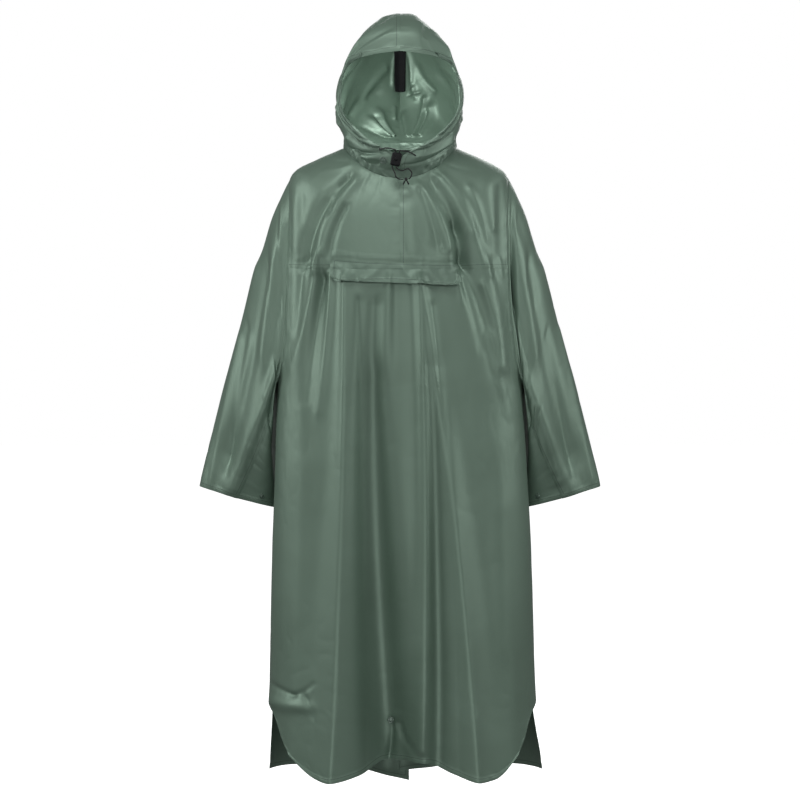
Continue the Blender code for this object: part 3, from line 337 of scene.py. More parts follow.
BACK_DETAIL = creases(
    (-40, -160, -112, -1200, 10, 7, 10, 2.4, 4, 1.4),
    (128, -200, 166, -1210, 6, 6, 10, 2.4, 4, 1.4),
    (84, -240, 108, -980, -6, 8, 12, -3, -3),
    (-98, -190, -150, -760, 6, 7, 10, -3, -1.2),
    (-180, -250, -206, -720, -4, 8, 12, 3, 1),
    (186, -260, 212, -640, 4, 8, 12, 2.8, 1),
    (20, -90, 34, -420, 4, 6, 10, -2.2, -0.8),
    (-20, -75, -30, -330, -4, 6, 10, -1.8, -0.6),
    (90, -40, 150, -150, -6, 5, 8, 2.6, 1),
    (-92, -40, -160, -140, 6, 5, 8, 2.4, 1),
    (40, -700, 46, -1220, 4, 8, 12, 2, 3.4),
    (-60, -620, -66, -1210, 4, 8, 12, -2, -3),
    (190, -1060, 236, -1110, 2, 7, 9, 3, 1.4),
)
FLAP_CREASES = creases(
    # across the flap and down from its top
    (10, 0, 34, 32, 3, 6.9, 11.5, 2.5, 3.3, 1.5),
    (40, 4, 50, 36, 0, 6.9, 9.2, -1.7, -2.2),
    (62, 34, 98, 4, 4, 6.9, 9.2, 3.8, 1.3, 1.5),
    (80, 0, 54, 34, 0, 6.9, 9.2, -1.3, -1.7),
    (110, 4, 104, 36, 0, 11.5, 16.1, -1.4, -2.4),
    (136, 2, 160, 36, 3, 5.7, 10.3, 2.5, 3.3, 1.5),
    (162, 0, 192, 36, 3, 6.9, 11.5, -1.4, -2.2),
    (186, 2, 206, 30, 2, 5.7, 8, 1.7, 1.9, 1.5),
    (216, 4, 232, 36, 2, 9.2, 11.5, 1.7, 2.4),
)
CUFF_CENTRE = Vector((0.3205, 0.046, -0.676))
CUFF_HALF = Vector((0.0790, 0.0, 0.022))
SLEEVE_SWELL = (
    Swell(0.00, 0.0000, 0.000, 0.000),
    Swell(0.05, 0.0070, 0.004, 0.006),
    Swell(0.15, 0.0145, 0.010, 0.009),
    Swell(0.30, 0.0145, 0.017, 0.010),
    Swell(0.50, 0.0090, 0.019, 0.010),
    Swell(0.66, 0.0075, 0.016, 0.008),
    Swell(0.81, 0.0040, 0.009, 0.004),
    Swell(1.00, 0.0000, 0.000, 0.000),
)
SLEEVE_CREASES = creases(
    (60, 140, 78, 560, -10, 16, 20, -6, -10),
    (20, 200, 28, 640, 4, 18, 22, 6, 9),
    (150, 180, 108, 640, 6, 14, 20, 7, 9),
    (185, 30, 170, 300, 4, 12, 14, -6, -6),
    (-70, 120, -95, 600, 10, 18, 24, -6, -10),
    (-120, 160, -150, 640, -6, 16, 22, 6, 10),
    (-30, 180, -45, 640, 4, 16, 20, 5, 8),
)
SLEEVE_DETAIL = {
    Side.RIGHT: creases(
        (35, 340, 57, 640, 2, 9.1, 11.7, 3.6, 3.6, 1.5),
        (46, 300, 87, 600, 2, 7.8, 10.4, -3, -2.6),
        (144, 173, 112, 635, 4, 9.1, 11.7, 3.6, 4.2, 1.5),
        (66, 20, 98, 240, 6, 13, 18.2, 3.6, 2.4, 1.6),
        (110, 60, 124, 290, 4, 10.4, 13, -2.6, -1.2),
        (40, 60, 52, 280, 4, 10.4, 13, -2.4, -2.4),
        (45, 36, 80, 30, 2, 6.5, 6.5, 2.4, 1.2),
        (36, 52, 70, 56, 2, 6.5, 6.5, -2, -0.8),
        (128, 320, 120, 470, 4, 6.5, 7.8, -2.4, -1.4),
        (-86, 100, -100, 420, 6, 9.1, 13, 3, 1.4),
        (-130, 250, -140, 600, -4, 10.4, 13, 3, 3.6),
        (-20, 260, -40, 560, 4, 10.4, 13, -3, -2),
    ),
    Side.LEFT: creases(
        (28, 330, 50, 640, 2, 9.1, 11.7, 3, 3.6, 1.5),
        (60, 290, 92, 610, 4, 7.8, 10.4, -2.6, -2.4),
        (136, 150, 120, 600, 6, 9.1, 11.7, 3.4, 3.6, 1.5),
        (50, 50, 64, 190, 3, 9.1, 11.7, -3, -1.8),
        (84, 30, 96, 240, 4, 11.7, 15.6, 3.4, 2.4, 1.6),
        (50, 10, 104, 26, 2, 13, 14, -9, -13),
        (104, 26, 152, 92, 2, 14, 13, -11, -7),
        (116, 60, 134, 230, 4, 9.1, 11.7, -3.6, -2.4),
        (133, 335, 150, 360, 2, 5.2, 5.2, 2.2, 1.4),
        (126, 360, 148, 392, 2, 5.2, 5.2, -2.2, -1.2),
        (150, 300, 132, 560, 0, 7.8, 10.4, 2.6, 2.4, 1.5),
        (-80, 120, -104, 440, 6, 9.1, 13, 3, 1.4),
        (-124, 220, -146, 600, -4, 10.4, 13, 3, 3.6),
        (-26, 240, -36, 560, 4, 10.4, 13, -2.6, -2),
    ),
}
FACE_EDGE = (
    Knot(0.00, 0.000, -0.1185, -0.0340), Knot(0.07, 0.001, -0.1270, -0.0200),
    Knot(0.12, 0.006, -0.1300, -0.0080), Knot(0.16, 0.018, -0.1295, 0.0010),
    Knot(0.21, 0.035, -0.1270, 0.0090), Knot(0.28, 0.057, -0.1230, 0.0220),
    Knot(0.36, 0.078, -0.1180, 0.0400), Knot(0.44, 0.098, -0.1120, 0.0600),
    Knot(0.51, 0.110, -0.1070, 0.0790), Knot(0.58, 0.1155, -0.1035, 0.1010),
    Knot(0.66, 0.1145, -0.1030, 0.1250), Knot(0.75, 0.1100, -0.1065, 0.1500),
    Knot(0.82, 0.1000, -0.1125, 0.1700), Knot(0.88, 0.0770, -0.1220, 0.1830),
    Knot(0.94, 0.0390, -0.1310, 0.1905), Knot(1.00, 0.000, -0.1350, 0.1945),
)
BACK_SEAM = (
    Knot(0.00, 0.0, 0.092, 0.046), Knot(0.22, 0.0, 0.126, 0.078), Knot(0.48, 0.0, 0.152, 0.122),
    Knot(0.74, 0.0, 0.160, 0.172), Knot(1.00, 0.0, 0.146, 0.222),
)
CROWN_SEAM = (
    Knot(0.00, 0.0, -0.135, 0.1945), Knot(0.12, 0.0, -0.128, 0.2280), Knot(0.26, 0.0, -0.098, 0.2600),
    Knot(0.48, 0.0, -0.030, 0.2850), Knot(0.70, 0.0, 0.050, 0.2820), Knot(0.87, 0.0, 0.112, 0.2570),
    Knot(1.00, 0.0, 0.146, 0.2220),
)
COLLAR = Ring(0.0340, 0.1125, 0.1125, -0.006, -0.1185, 0.092, 0.033, 0.046, 90, 90)
HOOD_CREASES = creases(
    (16, 30, 120, 22, 6, 14, 20, 5, 5),
    (20, 62, 130, 62, -4, 14, 20, -4, -4),
    (24, 90, 120, 104, 4, 14, 20, 4, 4),
    (220, 20, 300, 200, 20, 22, 28, -7, -4),
    (280, 20, 360, 170, -10, 20, 26, 7, 3),
    (30, 270, 130, 310, 10, 18, 20, 4, 2),
)
HOOD_DETAIL = {
    Side.RIGHT: creases(
        # the dark fold to the eyelet, with the puffs on both sides of it
        (118, 6, 12, 56, 3, 4, 3.5, -10.4, -7.8),
        (80, 10, 20, 34, 0, 8, 7, 7.8, 6.5, 1.6),
        (150, 12, 122, 36, 0, 11, 9, 2, 4),
        (130, 42, 280, 46, 0, 20, 24, 9, 11),
        (140, 130, 300, 136, 0, 26, 30, -4, -4),
        (16, 76, 70, 60, 2, 5, 8, 7.3, 6.5, 1.5),
        (14, 66, 56, 52, 0, 3, 4, -4.4, -3.9),
        # fans along the face opening
        (82, 144, 14, 86, 2, 4, 4, 6, 6, 1.4),
        (90, 122, 20, 80, 2, 5, 4, -7, -5.2),
        (40, 176, 12, 112, 1, 4, 4, 4.4, 4.4, 1.5),
        (56, 170, 20, 114, 1, 4, 4, -5.2, -4.4),
        (118, 58, 80, 48, 2, 6, 6, -1.3, -5.2),
        (50, 2, 40, 18, 0, 3, 3, -4.4, -3.9),
        (66, 2, 58, 16, 0, 3, 3, 4.4, 3.1),
        # the peak's crinkles
        (10, 284, 54, 332, 3, 6, 6, 5.6, 4.4, 1.4),
        (34, 286, 74, 330, 2, 6, 6, -5, -4),
        (64, 296, 110, 328, 2, 6, 8, 4.4, 3.4, 1.4),
        (86, 300, 140, 322, 3, 6, 8, -4.4, -3),
        (8, 312, 30, 330, 1, 4, 4, -3, -3),
        (120, 330, 190, 312, 2, 6, 9, 4, 3, 1.5),
        (50, 250, 120, 290, 4, 8, 10, -4, -3),
        # fans from the nape, seen through the face opening
        (392, 36, 352, 90, 2, 5, 11, -10, -9, 1.5),
        (400, 40, 368, 120, 3, 5, 12, -9, -8, 1.5),
        (396, 36, 360, 104, 2, 4, 6, 8, 5),
        (386, 28, 336, 60, 2, 5, 10, 8, 6),
        (404, 120, 404, 160, 1, 5, 4, -5, -3, 1.4),
        (300, 100, 350, 180, 6, 10, 14, 7, 4),
        (330, 160, 360, 250, 4, 8, 10, -5, -4),
        (390, 230, 380, 310, 2, 6, 8, -4, -3),
        (120, 120, 240, 220, 10, 12, 16, -6, -5),
        (180, 60, 260, 230, -10, 10, 14, 6.4, 5),
    ),
    Side.LEFT: creases(
        # the dark fold above the neck and the cloth that hangs over it
        (8, 18, 140, 6, 0, 3.6, 5, -8, -5),
        (20, 36, 130, 22, 0, 7, 8, 7.8, 3.9, 1.6),
        (30, 54, 120, 48, 4, 4.4, 6, -6.5, -2.1),
        (12, 68, 110, 70, 2, 4, 7, 6.5, 5.2, 1.5),
        (14, 84, 100, 100, 2, 4, 7, -6, -4.4),
        (10, 92, 60, 130, 2, 3.5, 5, 5.7, 3.9, 1.5),
        (12, 108, 56, 152, 2, 3.5, 5, -5.2, -3.4),
        (10, 34, 34, 46, 0, 3.4, 3.4, 4.4, 3.9, 1.4),
        (130, 40, 280, 44, 0, 20, 24, 9, 11),
        (140, 128, 300, 132, 0, 26, 30, -4, -4),
        # the peak's crinkles
        (12, 322, 110, 318, 2, 6, 8, 4.6, 4, 1.5),
        (16, 302, 90, 304, 3, 5, 9, -5, -4.4),
        (10, 284, 80, 276, 3, 5, 9, 4.4, 3.4, 1.5),
        (40, 250, 130, 262, 3, 7, 9, -4.4, -3.4),
        (30, 330, 200, 322, 2, 10, 12, 6, 6),
        (60, 312, 150, 300, 2, 5, 9, -3.6, -2.4),
        # fans from the nape, seen through the face opening
        (384, 36, 354, 164, 2, 4, 6, -9, -7, 1.5),
        (364, 40, 344, 130, 4, 6, 12, -8, -8),
        (376, 40, 352, 120, 0, 4, 6, 6, 4),
        (398, 40, 410, 130, 2, 6, 10, -7, -6),
        (376, 205, 374, 180, 2, 7, 8, -5.6, -4, 1.6),
        (388, 196, 368, 190, 1, 4.4, 5, 3, 2.6, 1.6),
        (330, 180, 350, 250, -4, 8, 10, 5.6, 4),
        (376, 230, 366, 300, 2, 7, 9, -5, -4),
        (160, 130, 260, 220, 8, 12, 16, -6.4, -5),
        (200, 70, 290, 200, -6, 10, 14, 6.4, 5),
    ),
}


# ---------------------------------------------------------------- curves and fields
def read_curve(places: Sequence[float], values: Sequence[float], at: Points) -> Points:
    """Read a smooth curve through points, that never overshoots them.

    Args:
        places: Where the points lie, rising.
        values: Their values.
        at: Where to read the curve.

    Returns:
        The curve's values.
    """
    places, values, at = (np.asarray(numbers, float) for numbers in (places, values, at))
    step = np.diff(places)
    slope = np.diff(values) / step
    tangent = np.zeros_like(values)
    tangent[0], tangent[-1] = slope[0], slope[-1]
    product = slope[1:] * slope[:-1]
    total = np.where(product > 0, slope[1:] + slope[:-1], 1.0)
    tangent[1:-1] = np.where(product > 0, 2.0 * product / total, 0.0)
    at = np.clip(at, places[0], places[-1])
    i = np.clip(np.searchsorted(places, at, side="right") - 1, 0, len(places) - 2)
    t = (at - places[i]) / step[i]
    rise = t * t * (3.0 - 2.0 * t)
    lead = t * (1.0 - t) ** 2 * step[i] * tangent[i]
    trail = t * t * (t - 1.0) * step[i] * tangent[i + 1]
    return (1.0 - rise) * values[i] + rise * values[i + 1] + lead + trail


def column(table: Sequence[object], key: str, name: str, at: Points) -> Points:
    """Read one named column of a table at places of its key column."""
    return read_curve([getattr(row, key) for row in table], [getattr(row, name) for row in table], at)


def ease(x: Points) -> Points:
    """Give 0 below 0, 1 above 1 and a smooth step between."""
    x = np.clip(x, 0.0, 1.0)
    return x * x * (3.0 - 2.0 * x)


def stack(x: Points, y: Points, z: Points) -> Points:
    """Join three arrays into one array of points."""
    return np.stack(np.broadcast_arrays(x, y, z), axis=-1)


def unit(vectors: Points) -> Points:
    """Bring vectors to length 1."""
    return vectors / np.maximum(np.linalg.norm(vectors, axis=-1, keepdims=True), 1e-12)


def relief(folds: Sequence[Crease], x: Points, z: Points) -> Points:
    """Sum the heights of creases over a plan.

    Args:
        folds: The ridges and troughs.
        x: Places across the plan.
        z: Places along it.

    Returns:
        The height at each place.
    """
    height = np.zeros(np.broadcast(x, z).shape)
    for crease in folds:
        run_x, run_z = crease.x1 - crease.x0, crease.z1 - crease.z0
        length = math.hypot(run_x, run_z)
        along = ((x - crease.x0) * run_x + (z - crease.z0) * run_z) / length ** 2
        share = np.clip(along, 0.0, 1.0)
        across = ((z - crease.z0) * run_x - (x - crease.x0) * run_z) / length
        across = across - crease.bow * 4.0 * share * (1.0 - share)
        width = crease.width0 + (crease.width1 - crease.width0) * share
        depth = crease.depth0 + (crease.depth1 - crease.depth0) * share
        past = (along - share) * length
        flank = width * np.where(across > 0, crease.lean, 1.0 / crease.lean)
        height += depth * np.exp(-(np.abs(across) / flank) ** crease.crest - (past / (1.5 * width)) ** 2)
    return height


def soft_noise(x: Points, z: Points, scale: float, seed: int) -> Points:
    """Draw smooth noise between -1 and 1 over a plan.

    Args:
        x: Places across the plan.
        z: Places along it.
        scale: Size of its lumps, in metres.
        seed: Picks the draw.

    Returns:
        The noise at each place.
    """
    table = np.random.default_rng(seed).uniform(-1.0, 1.0, (97, 89))
    u, v = x / scale + 1000.37, z / scale + 1000.71
    i, j = np.floor(u).astype(int), np.floor(v).astype(int)
    s, t = ease(u - i), ease(v - j)
    corner = [table[(i + a) % 97, (j + b) % 89] for a in (0, 1) for b in (0, 1)]
    return (corner[0] * (1 - t) + corner[1] * t) * (1 - s) + (corner[2] * (1 - t) + corner[3] * t) * s


def crumple(x: Points, z: Points, seed: int) -> Points:
    """Give the cloth's slight crumple: soft facets between creased lines, within about 1 mm.

    Args:
        x: Places across.
        z: Places up.
        seed: Which draw of noise.

    Returns:
        The height at each place.
    """
    warp, warp_size, broad_size, fine_size, patch_size = 0.012, 0.050, 0.046, 0.021, 0.11
    broad_height, line_depth = 0.00055, 0.00045
    warp_x = x + warp * soft_noise(x, z, warp_size, seed + 3)
    warp_z = z + warp * soft_noise(x, z, warp_size, seed + 4)
    broad = soft_noise(warp_x, 0.45 * warp_z, broad_size, seed)
    fine = np.abs(soft_noise(warp_x, 0.6 * warp_z, fine_size, seed + 1))
    patches = ease(0.5 + soft_noise(x, z, patch_size, seed + 2))
    return broad_height * broad - line_depth * patches * (1.0 - fine) ** 3


# ---------------------------------------------------------------- the three forms of the garment
@dataclass(frozen=True)
class TorsoForm:
    """The torso's surface, by a signed angle from the centre front and a depth below the origin."""

    squareness: float = 0.85
    neck_drop: float = 0.048
    chest_drop: float = 0.228
    underarm_drop: float = 0.462
    shoulder_drops: tuple[float, float] = (0.120, 0.127)
    side_radius: float = 0.15
    side_fade: float = 0.30
    armhole_fade: float = 0.03
    neck_fade: float = 0.02
    crumple_radius: float = 0.24
    crumple_fade: float = 0.01

    def read(self, name: str, drop: Points) -> Points:
        """Read a column of the ring table."""
        return column(TORSO_RINGS, "drop", name, drop)

    def half_width(self, angle: Points, drop: Points) -> Points:
        """Give the half width on the side that a signed angle is on."""
        return np.where(angle >= 0, self.read("half_left", drop), self.read("half_right", drop))

    def bare(self, angle: Points, drop: Points) -> Points:
        """Give the torso's points without creases.

        Args:
            angle: Angles round it from the front.
            drop: Drops from the shoulders' level.

        Returns:
            The points.
        """
        side = np.where(angle >= 0, 1.0, -1.0)
        wide, side_z = self.read("wide_y", drop), self.read("side_z", drop)
        facing, turned = np.cos(angle), side * np.sin(angle)
        front = facing >= 0
        reach = np.where(front, self.read("front_y", drop), self.read("back_y", drop)) - wide
        rise = np.where(front, -drop, self.read("back_z", drop)) - side_z
        square = np.where(front, self.squareness, 1.0)
        x = side * self.half_width(angle, drop) * np.sign(turned) * np.abs(turned) ** square
        return stack(x, wide + reach * np.abs(facing) ** square, side_z + rise * facing ** 2)

    def outward(self, angle: Points, drop: Points) -> Points:
        """Give the level direction straight out of the ring."""
        wide = self.read("wide_y", drop)
        deep = np.where(np.cos(angle) >= 0, wide - self.read("front_y", drop),
                        self.read("back_y", drop) - wide)
        return unit(stack(np.sin(angle) * deep, -np.cos(angle) * self.half_width(angle, drop), 0.0 * drop))

    def cut(self, drop: Points, name: str) -> Points:
        """Give the angle where the side is cut."""
        return np.radians(self.read(name, drop))

    def to_cut(self, angle: Points, drop: Points) -> Points:
        """Give the distance round the ring from the side's cut edge."""
        cut = np.where(np.cos(angle) >= 0, self.cut(drop, "open_front"), self.cut(drop, "open_back"))
        return np.abs(np.abs(angle) - cut) * self.half_width(angle, drop)

    def point(self, angle: Points, drop: Points) -> Points:
        """Give the torso's points with all their creases.

        Args:
            angle: Angles round it from the front.
            drop: Drops from the shoulders' level.

        Returns:
            The points.
        """
        bare = self.bare(angle, drop)
        x, z = bare[..., 0], bare[..., 2]
        facing = np.cos(angle)
        front = relief(FRONT_CREASES + FRONT_DETAIL, x, z) * ease(facing / self.side_fade)
        back = relief(BACK_CREASES + BACK_DETAIL, x, z) * ease(-facing / self.side_fade)
        armhole_near = ease((self.underarm_drop + self.armhole_fade - drop) / self.armhole_fade)
        at_armhole = 1.0 - armhole_near * (1.0 - ease(self.to_cut(angle, drop) / self.armhole_fade))
        at_neck = ease((drop - self.neck_drop) / self.neck_fade)
        slight = crumple(angle * self.crumple_radius, drop, 11)
        slight = slight * ease((drop - self.neck_drop) / self.crumple_fade)
        height = (front + back) * at_armhole * at_neck + slight
        return bare + self.outward(angle, drop) * height[..., None]

    def angle_at(self, x: Points, drop: Points) -> Points:
        """Give the signed angle of the front at a place x across it."""
        share = np.clip(np.abs(x) / self.half_width(x, drop), 0.0, 1.0)
        return np.where(x >= 0, 1.0, -1.0) * np.arcsin(share ** (1.0 / self.squareness))


TORSO = TorsoForm()


@dataclass(frozen=True)
class SleeveForm:
    """One sleeve's surface, by the angle round it from its outer line and the share along it."""

    side: Side
    tip_drop: float = 0.120
    armhole_gap: float = 0.0004
    cuff_depth: float = 0.060
    girth: float = 0.50
    length: float = 0.66
    gusset_top: float = 146.0
    gusset_cuff: float = 88.0
    outward_rise: float = 0.25
    swell_drop: float = 0.2
    seam_fade: float = 0.06
    crumple_share: float = 1.3

    def armhole(self, round_angle: Points) -> Points:
        """Give the armhole seam: 0 at the shoulder tip, pi at the underarm, front first."""
        share = (1.0 - np.cos(round_angle)) / 2.0
        drop = self.tip_drop + (TORSO.underarm_drop - self.tip_drop) * share
        front = np.sin(round_angle) >= 0
        angle = np.where(front, TORSO.cut(drop, "open_front"), TORSO.cut(drop, "open_back"))
        gap = stack(self.side.value * self.armhole_gap, 0.0 * drop, 0.0 * drop)
        return TORSO.bare(self.side.value * angle, drop) + gap

    def outward(self, round_angle: Points) -> Points:
        """Give the direction out of the sleeve where it has no creases."""
        outer = np.cos(round_angle)
        return unit(stack(self.side.value * outer, -np.sin(round_angle), self.outward_rise * outer))

    def point(self, round_angle: Points, along: Points) -> Points:
        """Give the sleeve's points with all their creases.

        Args:
            round_angle: Angles round it from its outer line.
            along: Shares from armhole to cuff.

        Returns:
            The points.
        """
        side, outer = self.side.value, np.cos(round_angle)
        cuff = np.array(CUFF_CENTRE) + np.array(CUFF_HALF) * outer[..., None]
        cuff = (cuff - stack(0.0, self.cuff_depth * np.sin(round_angle), 0.0)) * np.array([side, 1.0, 1.0])
        share = along[..., None]
        base = self.armhole(round_angle) * (1.0 - share) + cuff * share
        swell_x = outer * np.where(outer > 0, column(SLEEVE_SWELL, "along", "outer", along),
                                   -column(SLEEVE_SWELL, "along", "inner", along))
        swell_y = -column(SLEEVE_SWELL, "along", "depth", along) * np.sin(round_angle)
        base = base + stack(side * swell_x, swell_y, self.swell_drop * swell_x)
        x = np.arctan2(np.sin(round_angle), outer) / FULL_TURN * self.girth
        z = along * self.length
        height = relief(SLEEVE_CREASES + SLEEVE_DETAIL[self.side], x, z) * ease(along / self.seam_fade)
        height = height + self.crumple_share * crumple(x, z, 23 if self.side is Side.LEFT else 41)
        return base + self.outward(round_angle) * height[..., None]

    def gusset_angle(self, along: Points) -> Points:
        """Give where the gusset seam runs round the sleeve."""
        return np.radians(self.gusset_top + (self.gusset_cuff - self.gusset_top) * along)


@dataclass(frozen=True)
class HoodForm:
    """One half of the hood, by the share back from the face edge and the share up from the neck.

    A fade gives the shares near the face, back, neck and crown edges within which a relief dies out.
    """

    side: Side
    puff: float = 0.003
    sag: float = 0.010
    nape: float = 0.026
    nape_place: float = 0.74
    nape_reach: float = 0.17
    deep: float = 0.42
    tall: float = 0.34
    seam_lap: float = 0.0008
    crown_lift: float = 0.0060
    crown_place: float = 0.060
    broad_fade: tuple[float, float, float, float] = (0.04, 0.08, 0.05, 0.08)
    fine_fade: tuple[float, float, float, float] = (0.02, 0.03, 0.02, 0.03)
    crumple_share: float = 1.5
    crown_rise: float = 0.35
    back_turn: float = 2.6
    turn_start: float = 0.45

    def collar(self, angle: Points) -> Points:
        """Give the hood's lower edge by the signed angle from the front."""
        facing, turned = np.cos(angle), np.sin(angle)
        reach = np.where(facing >= 0, COLLAR.front_y, COLLAR.back_y) - COLLAR.wide_y
        rise = np.where(facing >= 0, -COLLAR.drop, COLLAR.back_z) - COLLAR.side_z
        square = np.where(facing >= 0, TORSO.squareness, 1.0)
        x = COLLAR.half_left * np.sign(turned) * np.abs(turned) ** square
        y = COLLAR.wide_y + reach * np.abs(facing) ** square
        return stack(x, y, COLLAR.side_z + rise * facing ** 2)

    def knots(self, knots: Sequence[Knot], share: Points) -> Points:
        """Give a smooth curve through a table of knots, on this side."""
        return stack(self.side.value * column(knots, "share", "x", share),
                     column(knots, "share", "y", share), column(knots, "share", "z", share))

    def point(self, back: Points, up: Points) -> Points:
        """Give the hood's points with all their creases.

        Args:
            back: Shares from the face's edge to the back seam.
            up: Shares from neck to crown.

        Returns:
            The points.
        """
        b, u = back[..., None], up[..., None]
        none, full = np.zeros(1), np.ones(1)
        side = self.side.value
        edges = self.collar(side * back * np.pi) * (1 - u) + self.knots(CROWN_SEAM, back) * u
        edges = edges + self.knots(FACE_EDGE, up) * (1 - b) + self.knots(BACK_SEAM, up) * b
        low = self.knots(FACE_EDGE, none) * (1 - b) + self.knots(BACK_SEAM, none) * b
        high = self.knots(FACE_EDGE, full) * (1 - b) + self.knots(BACK_SEAM, full) * b
        sheet = edges - low * (1 - u) - high * u
        swell = np.sin(np.pi * np.clip(back, 0, 1) ** 0.8)
        swell = swell * (self.puff * np.sin(np.pi * up) + self.sag * np.sin(2.0 * np.pi * up))
        nape = np.exp(-((back - self.nape_place) / self.nape_reach) ** 2)
        nape = nape * np.sin(np.pi * np.clip(back, 0, 1))
        swell = swell + self.nape * nape * np.sin(np.pi * np.clip(up, 0, 1)) ** 0.8
        x, z = back * self.deep, up * self.tall
        height = relief(HOOD_CREASES, x, z) * self.inside(back, up, self.broad_fade)
        inside = self.inside(back, up, self.fine_fade)
        height = height + relief(HOOD_DETAIL[self.side], x, z) * inside
        height = height + self.crumple_share * crumple(x, z, 57 if self.side is Side.LEFT else 71) * inside
        seam = stack(-side * self.seam_lap / 2, 0.0, 0.0)
        below = np.clip(1.0 - up, 0.0, 1.0) / self.crown_place
        crown = self.crown_lift * below * np.exp(1.0 - below) * np.sin(np.pi * np.clip(back, 0, 1)) ** 0.5
        seam = seam + stack(0.4 * side * crown, 0.0, crown)
        return sheet + self.outward(back, up) * (swell + height)[..., None] + seam

    def inside(self, back: Points, up: Points, fade: tuple[float, float, float, float]) -> Points:
        """Give 1 inside the half, falling to 0 at its edges over a fade's shares."""
        face, nape, neck, crown = fade
        return ease(back / face) * ease((1 - back) / nape) * ease(up / neck) * ease((1 - up) / crown)

    def outward(self, back: Points, up: Points) -> Points:
        """Give the direction out of the half where it has no creases."""
        rise = self.crown_rise * ease(up) * np.sin(np.pi * back)
        backward = self.back_turn * np.maximum(back - self.turn_start, 0.0)
        return unit(stack(self.side.value, backward, rise))

    def facing(self, back: float, up: float) -> Vector:
        """Give the direction straight out of the creased half at one place."""
        steps = np.array([-0.02, 0.0, 0.02])
        grid_up, grid_back = np.meshgrid(up + steps, back + steps, indexing="ij")
        normals = grid_normals(self.point(grid_back, grid_up), self.outward(grid_back, grid_up))
        return Vector(normals[1, 1])


# ---------------------------------------------------------------- finishes
class Wiring:
    """Adds shader nodes to a tree and links them in the order that they are written."""

    across, down, in_a_row = 180, -220, 12

    def __init__(self, tree: bpy.types.NodeTree) -> None:
        """Keep the tree and start at its left side."""
        self.tree = tree
        self.place = 0

    def node(self, kind: str, **settings: object) -> bpy.types.Node:
        """Add a node with its settings."""
        node = self.tree.nodes.new(kind)
        self.place += 1
        row, column_place = divmod(self.place, self.in_a_row)
        node.location = (self.across * column_place, self.down * row)
        for name, value in settings.items():
            setattr(node, name, value)
        return node

    def feed(self, socket: Socket, value: object) -> None:
        """Link a socket, or set it where the value is a number or a vector."""
        if isinstance(value, bpy.types.NodeSocket):
            self.tree.links.new(value, socket)
        else:
            socket.default_value = value

    def math(self, operation: str, *values: object) -> Socket:
        """Add a Math node over values or sockets."""
        node = self.node("ShaderNodeMath", operation=operation)
        for socket, value in zip(node.inputs, values):
            self.feed(socket, value)
        return node.outputs[0]

    def ramp(self, value: object, low: float, high: float, start: float = 0.0, end: float = 1.0) -> Socket:
        """Map a value smoothly from low..high to start..end."""
        node = self.node("ShaderNodeMapRange", interpolation_type="SMOOTHSTEP")
        for socket, number in zip(node.inputs, (value, low, high, start, end)):
            self.feed(socket, number)
        return node.outputs[0]

    def mix(self, share: object, first: object, second: object) -> Socket:
        """Mix two colours by a share."""
        node = self.node("ShaderNodeMix", data_type="RGBA")
        self.feed(node.inputs["Factor"], share)
        self.feed(node.inputs["A"], first)
        self.feed(node.inputs["B"], second)
        return node.outputs["Result"]

    def noise(self, vector: object, scale: float, detail: float = 2.0, roughness: float = 0.5,
              distortion: float = 0.0) -> Socket:
        """Add noise of a scale over a vector."""
        node = self.node("ShaderNodeTexNoise")
        self.feed(node.inputs["Vector"], vector)
        for name, value in (("Scale", scale), ("Detail", detail), ("Roughness", roughness),
                            ("Distortion", distortion)):
            self.feed(node.inputs[name], value)
        return node.outputs["Fac"]

    def group(self, tree: bpy.types.NodeTree, **values: object) -> bpy.types.Node:
        """Place a node group and feed its inputs by name."""
        node = self.node("ShaderNodeGroup", node_tree=tree)
        for name, value in values.items():
            self.feed(node.inputs[name.replace("_", " ").capitalize()], value)
        return node


